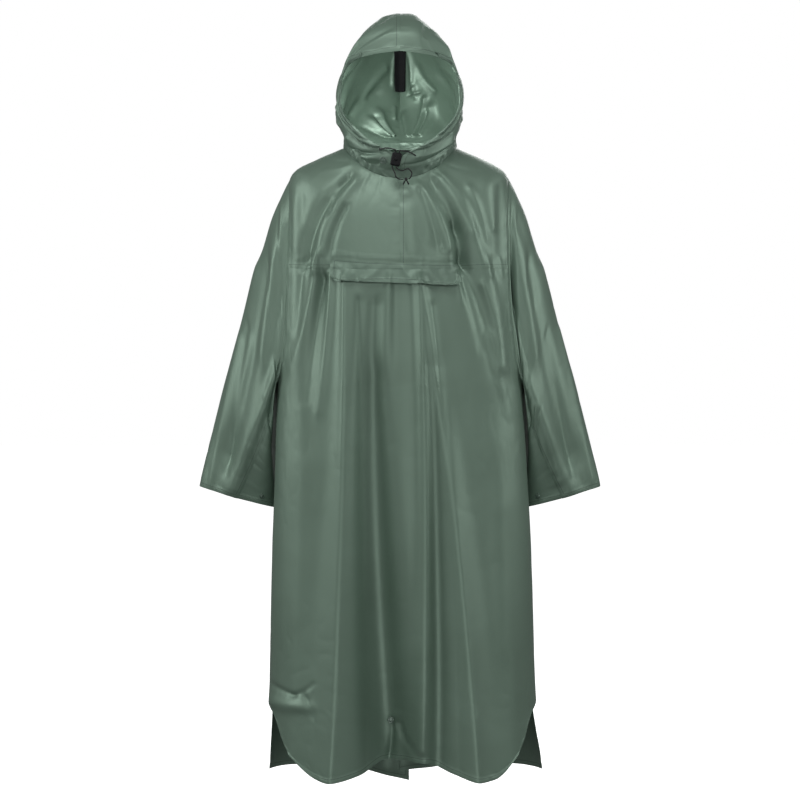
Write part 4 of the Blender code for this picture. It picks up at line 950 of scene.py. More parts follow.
class Effects:
    """The node groups that several finishes share, each built once."""

    def __init__(self) -> None:
        """Start with none built."""
        self.built: dict[str, bpy.types.NodeTree] = {}

    def tree(self, name: str, inputs: dict[str, object], outputs: Sequence[str],
             fill: Callable[[Wiring, Callable[[str], Socket]], Sequence[Socket]]) -> bpy.types.NodeTree:
        """Build a group once.

        Args:
            name: The group's name.
            inputs: Its inputs with their defaults; None makes a vector.
            outputs: Its outputs' names, all numbers.
            fill: Adds the nodes and gives a socket for each output.

        Returns:
            The group's tree.
        """
        if name in self.built:
            return self.built[name]
        tree = bpy.data.node_groups.new(name, "ShaderNodeTree")
        for label, value in inputs.items():
            kind = "NodeSocketVector" if value is None else "NodeSocketFloat"
            socket = tree.interface.new_socket(name=label, in_out="INPUT", socket_type=kind)
            if value is not None:
                socket.default_value = value
        for label in outputs:
            tree.interface.new_socket(name=label, in_out="OUTPUT", socket_type="NodeSocketFloat")
        wiring = Wiring(tree)
        entry = wiring.node("NodeGroupInput")
        leave = wiring.node("NodeGroupOutput")
        for label, socket in zip(outputs, fill(wiring, lambda label: entry.outputs[label])):
            tree.links.new(socket, leave.inputs[label])
        self.built[name] = tree
        return tree

    def weave(self) -> bpy.types.NodeTree:
        """Give the plain weave's height over the cloth's own map.

        Returns:
            The group's tree.
        """
        def fill(w: Wiring, entry: Callable[[str], Socket]) -> Sequence[Socket]:
            """Cross warp and weft."""
            parts = w.node("ShaderNodeSeparateXYZ")
            w.feed(parts.inputs[0], entry("Vector"))
            turns = w.math("MULTIPLY", entry("Threads"), math.pi)
            warp = w.math("SINE", w.math("MULTIPLY", parts.outputs[0], turns))
            weft = w.math("SINE", w.math("MULTIPLY", parts.outputs[1], turns))
            return [w.math("MULTIPLY_ADD", w.math("MULTIPLY", warp, weft), 0.5, 0.5)]
        return self.tree("plain_weave", {"Vector": None, "Threads": 900.0}, ["Height"], fill)

    def crinkle(self) -> bpy.types.NodeTree:
        """Give the coated cloth's fine crinkle and its slight change of tone.

        Returns:
            The group's tree.
        """
        def fill(w: Wiring, entry: Callable[[str], Socket]) -> Sequence[Socket]:
            """Layer broad and fine noise."""
            broad = w.noise(entry("Vector"), entry("Scale"), 3.0, 0.55, 0.6)
            fine = w.noise(entry("Vector"), w.math("MULTIPLY", entry("Scale"), 4.3), 2.0, 0.5, 0.3)
            creased = w.math("ABSOLUTE", w.math("SUBTRACT", broad, 0.5))
            height = w.math("ADD", w.math("MULTIPLY", creased, 1.4), w.math("MULTIPLY", fine, 0.35))
            tone = w.ramp(w.noise(entry("Vector"), w.math("MULTIPLY", entry("Scale"), 0.22)), 0.3, 0.7)
            return [height, tone]
        return self.tree("crinkle", {"Vector": None, "Scale": 30.0}, ["Height", "Tone"], fill)

    def stitching(self) -> bpy.types.NodeTree:
        """Give a row of stitches at a distance from the panel's edge, and its sunk line.

        Returns:
            The group's tree.
        """
        def fill(w: Wiring, entry: Callable[[str], Socket]) -> Sequence[Socket]:
            """Cut a line into stitches."""
            half_thread, thread_edge, sunk_half = 0.00022, 0.00042, 0.0016
            stitch_half, stitch_end = 0.34, 0.44
            parts = w.node("ShaderNodeSeparateXYZ")
            w.feed(parts.inputs[0], entry("Vector"))
            aside = w.math("ABSOLUTE", w.math("SUBTRACT", parts.outputs[1], entry("Line")))
            line = w.ramp(aside, half_thread, thread_edge, 1.0, 0.0)
            turn = w.math("FRACT", w.math("DIVIDE", parts.outputs[0], entry("Pitch")))
            middle = w.math("ABSOLUTE", w.math("SUBTRACT", turn, 0.5))
            thread = w.math("MULTIPLY", line, w.ramp(middle, stitch_half, stitch_end, 1.0, 0.0))
            sunk = w.ramp(aside, 0.0, sunk_half, 1.0, 0.0)
            return [thread, sunk]
        return self.tree("stitching", {"Vector": None, "Line": 0.0075, "Pitch": 0.0030},
                         ["Thread", "Sunk"], fill)


EFFECTS = Effects()


@dataclass(frozen=True)
class Finish:
    """A finish: its tones and how it takes light."""

    name: str
    tone: tuple[float, float, float]
    shade: tuple[float, float, float]
    roughness: float
    bump: float = 0.25
    metallic: float = 0.0
    specular: float = 0.5

    def material(self) -> bpy.types.Material:
        """Give the finish's material, made once.

        Returns:
            The material.
        """
        label = self.name + "_finish"
        found = bpy.data.materials.get(label)
        if found is not None:
            return found
        material = bpy.data.materials.new(label)
        material.use_nodes = True
        wiring = Wiring(material.node_tree)
        shader = material.node_tree.nodes["Principled BSDF"]
        shader.inputs["Metallic"].default_value = self.metallic
        shader.inputs["Specular IOR Level"].default_value = self.specular
        material.diffuse_color = (*self.tone, 1.0)
        colour, rough, height, reach = self.surface(wiring)
        wiring.feed(shader.inputs["Base Color"], colour)
        wiring.feed(shader.inputs["Roughness"], rough)
        bump = wiring.node("ShaderNodeBump")
        wiring.feed(bump.inputs["Strength"], self.bump)
        wiring.feed(bump.inputs["Distance"], reach)
        wiring.feed(bump.inputs["Height"], height)
        wiring.feed(shader.inputs["Normal"], bump.outputs["Normal"])
        return material

    def surface(self, wiring: Wiring) -> tuple[Socket, Socket, Socket, float]:
        """Add the nodes of the surface: its colour, roughness, height and the height's reach."""
        place = wiring.node("ShaderNodeTexCoord").outputs["Object"]
        crinkle = wiring.group(EFFECTS.crinkle(), vector=place, scale=240.0)
        colour = wiring.mix(crinkle.outputs["Tone"], (*self.tone, 1.0), (*self.shade, 1.0))
        rough = wiring.ramp(crinkle.outputs["Height"], 0.0, 1.0, self.roughness * 0.85, self.roughness * 1.15)
        return colour, rough, crinkle.outputs["Height"], 0.0004

    def dress(self, obj: bpy.types.Object) -> None:
        """Give an object the finish alone."""
        obj.data.materials.clear()
        obj.data.materials.append(self.material())


@dataclass(frozen=True)
class Cloth(Finish):
    """Coated nylon with its weave, crinkle, tone and rows of stitches, and painted shade along each stitch
    line's sunk groove.
    """

    thread: tuple[float, float, float] = (0.060, 0.085, 0.070)
    stitch_line: float = 0.0075
    stitch_pitch: float = 0.0030
    crinkle_scale: float = 34.0
    # painted shade: how strongly the sunk stitch groove darkens the colour, and how dark it gets
    sunk_shade: float = 0.25
    sunk_shade_tone: float = 0.55
    smoother: float = 0.06
    rougher: float = 0.08
    reach: float = 0.0009

    def surface(self, wiring: Wiring) -> tuple[Socket, Socket, Socket, float]:
        """Add the nodes of the cloth: its colour, roughness, height and the height's reach.

        Args:
            wiring: The material's tree.

        Returns:
            The colour, roughness and height, and the height's reach.
        """
        cloth = wiring.node("ShaderNodeUVMap", uv_map=CLOTH_MAP).outputs[0]
        edge = wiring.node("ShaderNodeUVMap", uv_map=EDGE_MAP).outputs[0]
        crinkle = wiring.group(EFFECTS.crinkle(), vector=cloth, scale=self.crinkle_scale)
        weave = wiring.group(EFFECTS.weave(), vector=cloth)
        stitch = wiring.group(EFFECTS.stitching(), vector=edge, line=self.stitch_line,
                              pitch=self.stitch_pitch)
        colour = wiring.mix(crinkle.outputs["Tone"], (*self.tone, 1.0), (*self.shade, 1.0))
        # painted shade: the colour darkens along the stitches' sunk groove, where shade would fall
        sunk_shade = wiring.math("MULTIPLY", stitch.outputs["Sunk"], self.sunk_shade)
        colour = wiring.mix(sunk_shade, colour, (*[self.sunk_shade_tone * part for part in self.shade], 1.0))
        colour = wiring.mix(stitch.outputs["Thread"], colour, (*self.thread, 1.0))
        rough = wiring.ramp(crinkle.outputs["Height"], 0.0, 1.0, self.roughness - self.smoother,
                            self.roughness + self.rougher)
        rough = wiring.math("MULTIPLY_ADD", stitch.outputs["Thread"], 0.3, rough)
        height = wiring.math("MULTIPLY_ADD", weave.outputs["Height"], 0.10, crinkle.outputs["Height"])
        height = wiring.math("MULTIPLY_ADD", stitch.outputs["Sunk"], -0.5, height)
        height = wiring.math("MULTIPLY_ADD", stitch.outputs["Thread"], 0.6, height)
        return colour, rough, height, self.reach


@dataclass(frozen=True)
class Woven(Finish):
    """Webbing or braid, with its ribs over the piece's own map, and painted shade in the hollows between the
    ribs.
    """

    ribs: float = 700.0

    def surface(self, wiring: Wiring) -> tuple[Socket, Socket, Socket, float]:
        """Add the nodes of the weave: its colour, roughness, height and the height's reach."""
        cloth = wiring.node("ShaderNodeUVMap", uv_map=CLOTH_MAP).outputs[0]
        weave = wiring.group(EFFECTS.weave(), vector=cloth, threads=self.ribs)
        # painted shade: the colour goes to the darker shade tone in the hollows between the ribs
        colour = wiring.mix(weave.outputs["Height"], (*self.shade, 1.0), (*self.tone, 1.0))
        rough = wiring.ramp(weave.outputs["Height"], 0.0, 1.0, self.roughness * 1.1, self.roughness * 0.9)
        return colour, rough, weave.outputs["Height"], 0.0005


NYLON = Cloth("coated_nylon", (0.136, 0.203, 0.157), (0.126, 0.189, 0.145), 0.51, bump=0.08, metallic=0.42)
# painted shade: a darker copy of the nylon's tones for the chest flap, the neckband and the face casings,
# which sit darker in the light
SHADED_TRIM = Cloth("nylon_trim", (0.122, 0.184, 0.142), (0.110, 0.166, 0.128), 0.52, bump=0.08, metallic=0.40)
WEBBING = Woven("black_webbing", (0.010, 0.010, 0.011), (0.004, 0.004, 0.005), 0.82, bump=0.6, specular=0.2)
BRAID = Woven("black_cord", (0.014, 0.014, 0.015), (0.005, 0.005, 0.006), 0.75, bump=0.7, ribs=1500.0)
BLACK_PLASTIC = Finish("black_plastic", (0.006, 0.006, 0.007), (0.004, 0.004, 0.005), 0.50, bump=0.10,
                       specular=0.15)
GREEN_PLASTIC = Finish("green_plastic", (0.105, 0.150, 0.122), (0.092, 0.132, 0.107), 0.30, bump=0.08)
DARK_METAL = Finish("dark_metal", (0.118, 0.168, 0.136), (0.086, 0.124, 0.100), 0.30, bump=0.10,
                    metallic=0.35)


# ---------------------------------------------------------------- making pieces
def grid_of(rows: int, columns: int) -> tuple[Points, Points]:
    """Give shares from 0 to 1 down the rows and across them, as two grids."""
    return tuple(np.meshgrid(np.linspace(0, 1, rows), np.linspace(0, 1, columns), indexing="ij"))


def run_along(points: Points, axis: int = 0) -> Points:
    """Give the length run from the start of a line or grid of points, along one of its axes."""
    steps = np.linalg.norm(np.diff(points, axis=axis), axis=-1)
    start = np.zeros_like(np.take(steps, [0], axis=axis))
    return np.concatenate([start, np.cumsum(steps, axis=axis)], axis=axis)


def evened(spots: Points, rounds: int) -> Points:
    """Even out rows of points by drawing each towards its neighbours.

    Args:
        spots: The points, which are changed.
        rounds: How many times.

    Returns:
        The same points.
    """
    for _ in range(rounds):
        spots[:, 1:-1] = (spots[:, :-2] + spots[:, 2:] + 2.0 * spots[:, 1:-1]) / 4.0
    return spots


def lay_grid(bm: bmesh.types.BMesh, points: Points) -> list[bmesh.types.BMVert]:
    """Add a grid of faces over a grid of points and give its vertices.

    Args:
        bm: Where it goes.
        points: The grid of points.

    Returns:
        The grid's vertices.
    """
    rows, columns = points.shape[:2]
    grid = bmesh.ops.create_grid(bm, x_segments=columns - 1, y_segments=rows - 1, size=1.0)["verts"]
    for vertex, point in zip(grid, points.reshape(-1, 3)):
        vertex.co = point
    return grid


def add_ring(bm: bmesh.types.BMesh, radius: float, tube: float, steps: int) -> list[bmesh.types.BMVert]:
    """Add a round ring about Z.

    Args:
        bm: Where it goes.
        radius: From the ring's middle to its tube's.
        tube: The tube's radius.
        steps: How many faces there are round the ring.

    Returns:
        The ring's vertices.
    """
    before = set(bm.verts)
    circle = bmesh.ops.create_circle(bm, segments=12, radius=tube)["verts"]
    aside = Matrix.Translation((radius, 0.0, 0.0)) @ Matrix.Rotation(math.pi / 2.0, 4, "X")
    bmesh.ops.transform(bm, matrix=aside, verts=circle)
    edges = list({edge for vertex in circle for edge in vertex.link_edges})
    bmesh.ops.spin(bm, geom=circle + edges, cent=(0, 0, 0), axis=UPRIGHT, angle=FULL_TURN, steps=steps,
                   use_merge=True)
    return [vertex for vertex in bm.verts if vertex not in before]


def seal(bm: bmesh.types.BMesh) -> None:
    """Weld what meets, close what is open and turn the faces outward."""
    bmesh.ops.remove_doubles(bm, verts=bm.verts[:], dist=MERGE_WITHIN)
    bmesh.ops.holes_fill(bm, edges=[edge for edge in bm.edges if edge.is_boundary], sides=0)
    bmesh.ops.recalc_face_normals(bm, faces=bm.faces[:])


def map_upright(bm: bmesh.types.BMesh) -> None:
    """Map small threads straight from the front."""
    layer = bm.loops.layers.uv.new(CLOTH_MAP)
    for face in bm.faces:
        for corner in face.loops:
            corner[layer].uv = (corner.vert.co.x, corner.vert.co.z)


def turn_to(direction: Vector) -> Matrix:
    """Give the turn from upright to a direction."""
    return UPRIGHT.rotation_difference(direction).to_matrix().to_4x4()


def middle_of(node: str) -> Vector:
    """Give the middle of a node of the frame."""
    low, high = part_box(node)
    return (Vector(low) + Vector(high)) / 2.0


def add_piece(name: str, bm: bmesh.types.BMesh, finish: Finish) -> bpy.types.Object:
    """Turn a bmesh into a dressed piece that rides on the body and replaces its node.

    Args:
        name: The name of the piece and of the node.
        bm: Its shape, which is freed.
        finish: Its finish.

    Returns:
        The piece's object.
    """
    mesh = bpy.data.meshes.new(name)
    bm.to_mesh(mesh)
    bm.free()
    mesh.shade_smooth()
    obj = bpy.data.objects.new(name, mesh)
    bpy.context.scene.collection.objects.link(obj)
    finish.dress(obj)
    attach(obj, BODY)
    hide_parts(name)
    log.info("%s: %d faces", name, len(mesh.polygons))
    return obj


def set_map(mesh: bpy.types.Mesh, name: str, across: Points, along: Points) -> None:
    """Give a mesh a map with one place for each of its vertices."""
    layer = mesh.uv_layers.new(name=name)
    corners = np.zeros(len(mesh.loops), int)
    mesh.loops.foreach_get("vertex_index", corners)
    places = np.stack([across.ravel(), along.ravel()], axis=-1)[corners]
    layer.data.foreach_set("uv", places.astype(np.float32).ravel())


@dataclass(frozen=True)
class Reach:
    """How far a seam's relief reaches into the cloth, and how long its puckers are."""

    band_blur: float = 0.002
    tuck: float = 0.0028
    pucker_start: float = 0.003
    pucker_full: float = 0.006
    pucker_fade: float = 0.011
    short_pucker: float = 0.0085
    long_pucker: float = 0.021


REACH = Reach()


@dataclass
class Panel:
    """One cut piece of cloth over a grid of points, with its edges' finish and thickness.

    The grid's first row is its top edge, and its first column is its first side.
    """

    name: str
    points: Points
    outward: Points
    top: Edging = Edging.JOINED
    foot: Edging = Edging.JOINED
    first: Edging = Edging.JOINED
    last: Edging = Edging.JOINED
    thickness: float = 0.0011
    finish: Finish = NYLON
    seed: int = 5
    held: str = "hung"
    rests_on: Sequence[str] = ()

    def runs(self) -> tuple[Points, Points]:
        """Give the distances along the rows and down the columns, in metres of cloth."""
        return run_along(self.points, 1), run_along(self.points, 0)

    def edge_field(self) -> tuple[Points, Points, Points]:
        """Work out the edges' relief and the map of their stitches.

        Returns:
            The height of bands, tucks and puckers, and the stitch map's two places.
        """
        across, down = self.runs()
        height = np.zeros(across.shape)
        run, near = np.zeros(across.shape), np.full(across.shape, FAR_FROM_EDGE)
        edges = (
            (self.top, down, across), (self.foot, down[-1:] - down, across),
            (self.first, across, down), (self.last, across[:, -1:] - across, down),
        )
        for number, (edging, away, beside) in enumerate(edges):
            if edging is Edging.RAW:
                continue
            if edging.band:
                past = away - edging.band + REACH.band_blur / 2.0
                height += edging.rise * (1.0 - ease(past / REACH.band_blur))
            height -= edging.tuck * np.exp(-(away / REACH.tuck) ** 2)
            folds = soft_noise(beside, 0.2 * away + number, REACH.short_pucker, self.seed + number)
            folds = folds + 0.6 * soft_noise(beside, 0.1 * away, REACH.long_pucker, self.seed + 9 + number)
            fade = np.exp(-(np.maximum(away - REACH.pucker_full, 0.0) / REACH.pucker_fade) ** 2)
            height += edging.pucker * folds * (fade * ease(away / REACH.pucker_start))
            if edging.stitch:
                distance = away + NYLON.stitch_line - edging.stitch
                run = np.where(distance < near, beside, run)
                near = np.minimum(near, distance)
        return height, run, near

    def build(self) -> bpy.types.Object:
        """Make the panel's object with its thickness, maps and finish.

        Returns:
            The panel's object.
        """
        height, run, near = self.edge_field()
        across, down = self.runs()
        area = self.area()
        bm = bmesh.new()
        grid = lay_grid(bm, self.points + self.outward * height[..., None])
        bm.normal_update()
        out = self.outward.reshape(-1, 3)
        if sum(vertex.normal.dot(Vector(out[vertex.index])) for vertex in grid[::97]) < 0:
            bmesh.ops.reverse_faces(bm, faces=bm.faces[:])
        for edge in bm.edges:
            edge.smooth = not edge.is_boundary
        obj = add_piece(self.name, bm, self.finish)
        set_map(obj.data, CLOTH_MAP, across, down)
        set_map(obj.data, EDGE_MAP, run, near)
        solid = obj.modifiers.new("thickness", "SOLIDIFY")
        solid.thickness = self.thickness
        solid.offset = 0.0
        flat = (float(across[:, -1].max()), float(down[-1].max()))
        list(self.rests_on)
        log.info("%s: flat %.3f by %.3f m, area %.4f", self.name, *flat, area)
        return obj

    def area(self) -> float:
        """Give the panel's area in square metres."""
        one = self.points[1:, 1:] - self.points[:-1, :-1]
        two = self.points[1:, :-1] - self.points[:-1, 1:]
        return float(np.linalg.norm(np.cross(one, two), axis=-1).sum() / 2.0)


def grid_normals(points: Points, towards: Points) -> Points:
    """Give a grid's unit normals, on the side that a rough direction points to.

    Args:
        points: The grid's points.
        towards: A rough direction out for each of them.

    Returns:
        The normals.
    """
    normal = unit(np.cross(np.gradient(points, axis=0), np.gradient(points, axis=1)))
    return normal * np.where((normal * towards).sum(-1, keepdims=True) < 0, -1.0, 1.0)


def levels_between(levels: Sequence[float], spacing: float) -> Points:
    """Spread levels evenly between set ones, about a spacing apart."""
    parts = [np.linspace(a, b, max(1, round((b - a) / spacing)), endpoint=False)
             for a, b in zip(levels, levels[1:])]
    return np.concatenate([*parts, [levels[-1]]])


# ---------------------------------------------------------------- the torso
@dataclass
class Torso:
    """The yokes, the front below the chest and the two back panels with their lapped vent."""

    front_step: float = 0.0034
    yoke_step: float = 0.0024
    back_step: float = 0.0046
    front_wide: float = 0.58
    yoke_wide: float = 0.27
    back_wide: float = 0.30
    seam_lap: float = 0.0008
    vent_drop: float = 1.000
    vent_lap: float = 0.030
    vent_ease: float = 0.03
    vent_lift: float = 0.0060
    vent_under_rise: float = 0.020
    lift_above: float = 0.12
    lift_ease: float = 0.06
    lift_turn: float = 0.45
    lift_turn_ease: float = 0.30
    strip_above: float = 0.0095
    strip_rise: float = 0.0009
    strip_half: float = 0.0036
    strip_blur: float = 0.0015
    strip_past: float = 0.01
    strip_end: float = 40.0
    gather_height: float = 0.0008
    gather_reach: float = 0.008
    gather_size: float = 0.0055
    gather_group: float = 0.03

    def panel(self, name: str, angle: Points, drop: Points, lift: Points | float = 0.0,
              **options: object) -> bpy.types.Object:
        """Make a torso panel over angles and depths."""
        outward = TORSO.outward(angle, drop)
        points = TORSO.point(angle, drop)
        normals = grid_normals(points, outward)
        raised = points + outward * np.asarray(lift)[..., None]
        return Panel(name, raised, normals, **options).build()

    def strip(self, angle: Points, drop: Points) -> Points:
        """Give the height of the stitched strip above the pocket flap and of its gathers.

        Args:
            angle: Angles round the torso.
            drop: Drops from the shoulders' level.

        Returns:
            The height at each place.
        """
        x = TORSO.bare(angle, drop)[..., 0]
        share = (x - ChestFlap.right) / (ChestFlap.left - ChestFlap.right)
        line = ChestFlap.top_right + (ChestFlap.top_left - ChestFlap.top_right) * share - self.strip_above
        away = np.abs(drop - line)
        inside = ease((share + self.strip_past) * self.strip_end)
        inside = inside * ease((1.0 + self.strip_past - share) * self.strip_end) * (np.cos(angle) > 0)
        groups = 0.5 + 0.5 * soft_noise(x, 0.0 * x, self.gather_group, 84)
        gathers = soft_noise(x, 0.0 * x, self.gather_size, 83) * groups
        puckers = self.gather_height * gathers * np.exp(-(away / self.gather_reach) ** 2)
        band = self.strip_rise * (1.0 - ease((away - self.strip_half) / self.strip_blur))
        return inside * (band + puckers)

    def front_yoke(self, side: Side) -> bpy.types.Object:
        """Make one yoke, from the centre front to the shoulder and down to the chest seam.

        Args:
            side: Which one.

        Returns:
            Its object.
        """
        across = np.linspace(0.0, 1.0, round(self.yoke_wide / self.yoke_step))
        levels = (TORSO.neck_drop, *TORSO.shoulder_drops, TORSO.chest_drop)
        drop, across = np.meshgrid(levels_between(levels, self.yoke_step), across, indexing="ij")
        centre = TORSO.angle_at(np.full_like(drop, -self.seam_lap / 2.0), drop)
        angle = side.value * (centre + (self.front_edge(drop) - centre) * across)
        return self.panel("front_yoke_" + side.label, angle, drop, self.strip(angle, drop),
                          foot=Edging.FELLED, last=Edging.FELLED, seed=100 + int(side.value),
                          first=Edging.FELLED if side is Side.LEFT else Edging.JOINED)

    def front_edge(self, drop: Points) -> Points:
        """Give where the front panels end at the side."""
        return TORSO.cut(drop, "open_front") + self.seam_lap / 2.0 / TORSO.side_radius

    def front_body(self) -> bpy.types.Object:
        """Make the front below the chest seam, one piece with a rounded hem."""
        across = np.linspace(-1.0, 1.0, round(self.front_wide / self.front_step))
        hem = column(FRONT_HEM, "across", "drop", across)
        drop = self.to_hem((TORSO.chest_drop, TORSO.underarm_drop), hem, self.front_step)
        angle = across[None, :] * self.front_edge(drop)
        return self.panel("front_body", angle, drop, foot=Edging.HEM, first=Edging.FELLED,
                          last=Edging.FELLED, seed=120, rests_on=["front_yoke_left", "front_yoke_right"])

    def to_hem(self, levels: Sequence[float], hem: Points, spacing: float) -> Points:
        """Give levels down to the underarm, then rows that spread evenly to a hem."""
        upper = levels_between(levels, spacing)
        rows = round(float(hem.mean() - levels[-1]) / spacing)
        share = np.linspace(0.0, 1.0, rows)[1:, None]
        above = np.tile(upper[:, None], (1, len(hem)))
        return np.vstack([above, levels[-1] + (hem - levels[-1]) * share])

    def back_panel(self, side: Side) -> bpy.types.Object:
        """Make half of the back; the right one laps over the left one at the vent.

        Args:
            side: Which one.

        Returns:
            Its object.
        """
        share = np.linspace(0.0, 1.0, round(self.back_wide / self.back_step))
        rise = self.vent_under_rise * ease(share * 1.4 - 0.4) if side is Side.LEFT else 0.0
        hem = column(BACK_HEM, "across", "drop", share) - rise
        levels = (TORSO.neck_drop, *TORSO.shoulder_drops, TORSO.underarm_drop)
        drop = self.to_hem(levels, hem, self.back_step)
        start = TORSO.cut(drop, "open_back") - self.seam_lap / 2.0 / TORSO.side_radius
        centre = np.pi - TORSO.angle_at(np.full_like(drop, -self.seam_lap / 2.0), drop)
        if side is Side.LEFT:
            angle = start + (centre - start) * share[None, :]
            return self.panel("back_left", angle, drop, foot=Edging.HEM, seed=130)
        lap = TORSO.angle_at(np.full_like(drop, self.vent_lap), drop)
        lap = lap * ease((drop - self.vent_drop) / self.vent_ease)
        angle = start + (centre + lap - start) * share[None, :]
        lift = self.vent_lift * ease((drop - self.vent_drop + self.lift_above) / self.lift_ease)
        lift = lift * ease((angle - np.pi + self.lift_turn) / self.lift_turn_ease)
        return self.panel("back_right", -angle, drop, lift, foot=Edging.HEM, last=Edging.FELLED, seed=140)

    def build(self) -> list[bpy.types.Object]:
        """Make every panel of the torso and give those of the front."""
        front = [self.front_body()]
        for side in Side:
            front.append(self.front_yoke(side))
            self.back_panel(side)
        return front


@dataclass
class ChestFlap:
    """The pocket flap across the chest, stitched along its top and loose below."""

    right: float = -0.133
    left: float = 0.116
    top_right: float = 0.2120
    top_left: float = 0.2210
    tall: float = 0.0390
    corner: float = 0.016
    stand: float = 0.0021
    flare: float = 0.0050
    flare_right: float = 0.7
    flare_left: float = 1.3
    deepest: float = 0.002
    rows: int = 30
    columns: int = 150
    rounds: int = 30

    def build(self, front: BVHTree) -> bpy.types.Object:
        """Make the flap, laid on the front's panels.

        Args:
            front: The faces of the front's panels.

        Returns:
            Its object.
        """
        down, share = grid_of(self.rows, self.columns)
        below = down * self.tall
        into = np.clip(below - (self.tall - self.corner), 0.0, self.corner)
        inset = self.corner - np.sqrt(self.corner ** 2 - into ** 2)
        x = self.right + inset + (self.left - self.right - 2.0 * inset) * share
        drop = self.top_right + (self.top_left - self.top_right) * share + below
        angle = TORSO.angle_at(x, drop)
        points = TORSO.bare(angle, drop)
        outward = TORSO.outward(angle, drop)
        laid = laid_on(front, points, outward)
        smooth = evened(laid.copy(), self.rounds)
        laid = laid + outward * np.maximum(((smooth - laid) * outward).sum(-1), 0.0)[..., None]
        own = relief(FLAP_CREASES, x - self.right, below) * ease(down * 3.0)
        flare = self.flare * down ** 1.5 * (self.flare_right + (self.flare_left - self.flare_right) * share)
        stand = self.stand + flare + np.maximum(own, -self.deepest)
        placed = laid + outward * stand[..., None]
        return Panel("chest_flap", placed, grid_normals(placed, outward), top=Edging.CASING, foot=Edging.HEM,
                     first=Edging.HEM, last=Edging.HEM, finish=SHADED_TRIM, seed=150,
                     rests_on=["front_yoke_left", "front_yoke_right"]).build()


def laid_on(faces: BVHTree, points: Points, outward: Points) -> Points:
    """Move points along their outward directions onto pieces' faces.

    Args:
        faces: The pieces' faces.
        points: The points.
        outward: Their outward directions.

    Returns:
        The points where they land, or where they were.
    """
    landed, away = [], 0.05
    for point, direction in zip(points.reshape(-1, 3), outward.reshape(-1, 3)):
        hit = faces.ray_cast(Vector(point + direction * away), Vector(-direction), 2.0 * away)[0]
        landed.append(point if hit is None else hit)
    return np.array(landed).reshape(points.shape)


def faces_of(*pieces: bpy.types.Object) -> BVHTree:
    """Give the finished faces of pieces, for others to be laid on."""
    bm = bmesh.new()
    graph = bpy.context.evaluated_depsgraph_get()
    for piece in pieces:
        bm.from_object(piece, graph)
    tree = BVHTree.FromBMesh(bm)
    bm.free()
    return tree


# ---------------------------------------------------------------- the sleeves
@dataclass
class Sleeve:
    """A sleeve and its underarm gusset."""

    side: Side
    step: float = 0.0044
    long: float = 0.60
    round: float = 0.42
    gusset_columns: int = 30
    seam_lap: float = 0.0004
    seam_radius: float = 0.08

    def panel(self, name: str, angle: Points, along: Points, edging: Edging, seed: int) -> None:
        """Make one panel over angles round the sleeve and shares along it."""
        form = SleeveForm(self.side)
        points = form.point(angle, along)
        Panel(name + self.side.label, points, grid_normals(points, form.outward(angle)), foot=Edging.HEM,
              first=edging, last=edging, seed=seed, rests_on=["front_yoke_" + self.side.label]).build()

    def build(self) -> None:
        """Make both panels."""
        form, sign = SleeveForm(self.side), int(self.side.value)
        rows = round(self.long / self.step)
        lap = self.seam_lap / self.seam_radius
        along, share = grid_of(rows, round(self.round / self.step))
        angle = (share * 2.0 - 1.0) * (form.gusset_angle(along) + lap)
        self.panel("sleeve_", angle, along, Edging.FELLED, 160 + sign)
        along, share = grid_of(rows, self.gusset_columns)
        start = form.gusset_angle(along) - lap
        angle = start + (FULL_TURN - 2.0 * start) * share
        self.panel("gusset_", angle, along, Edging.JOINED, 160 - sign)


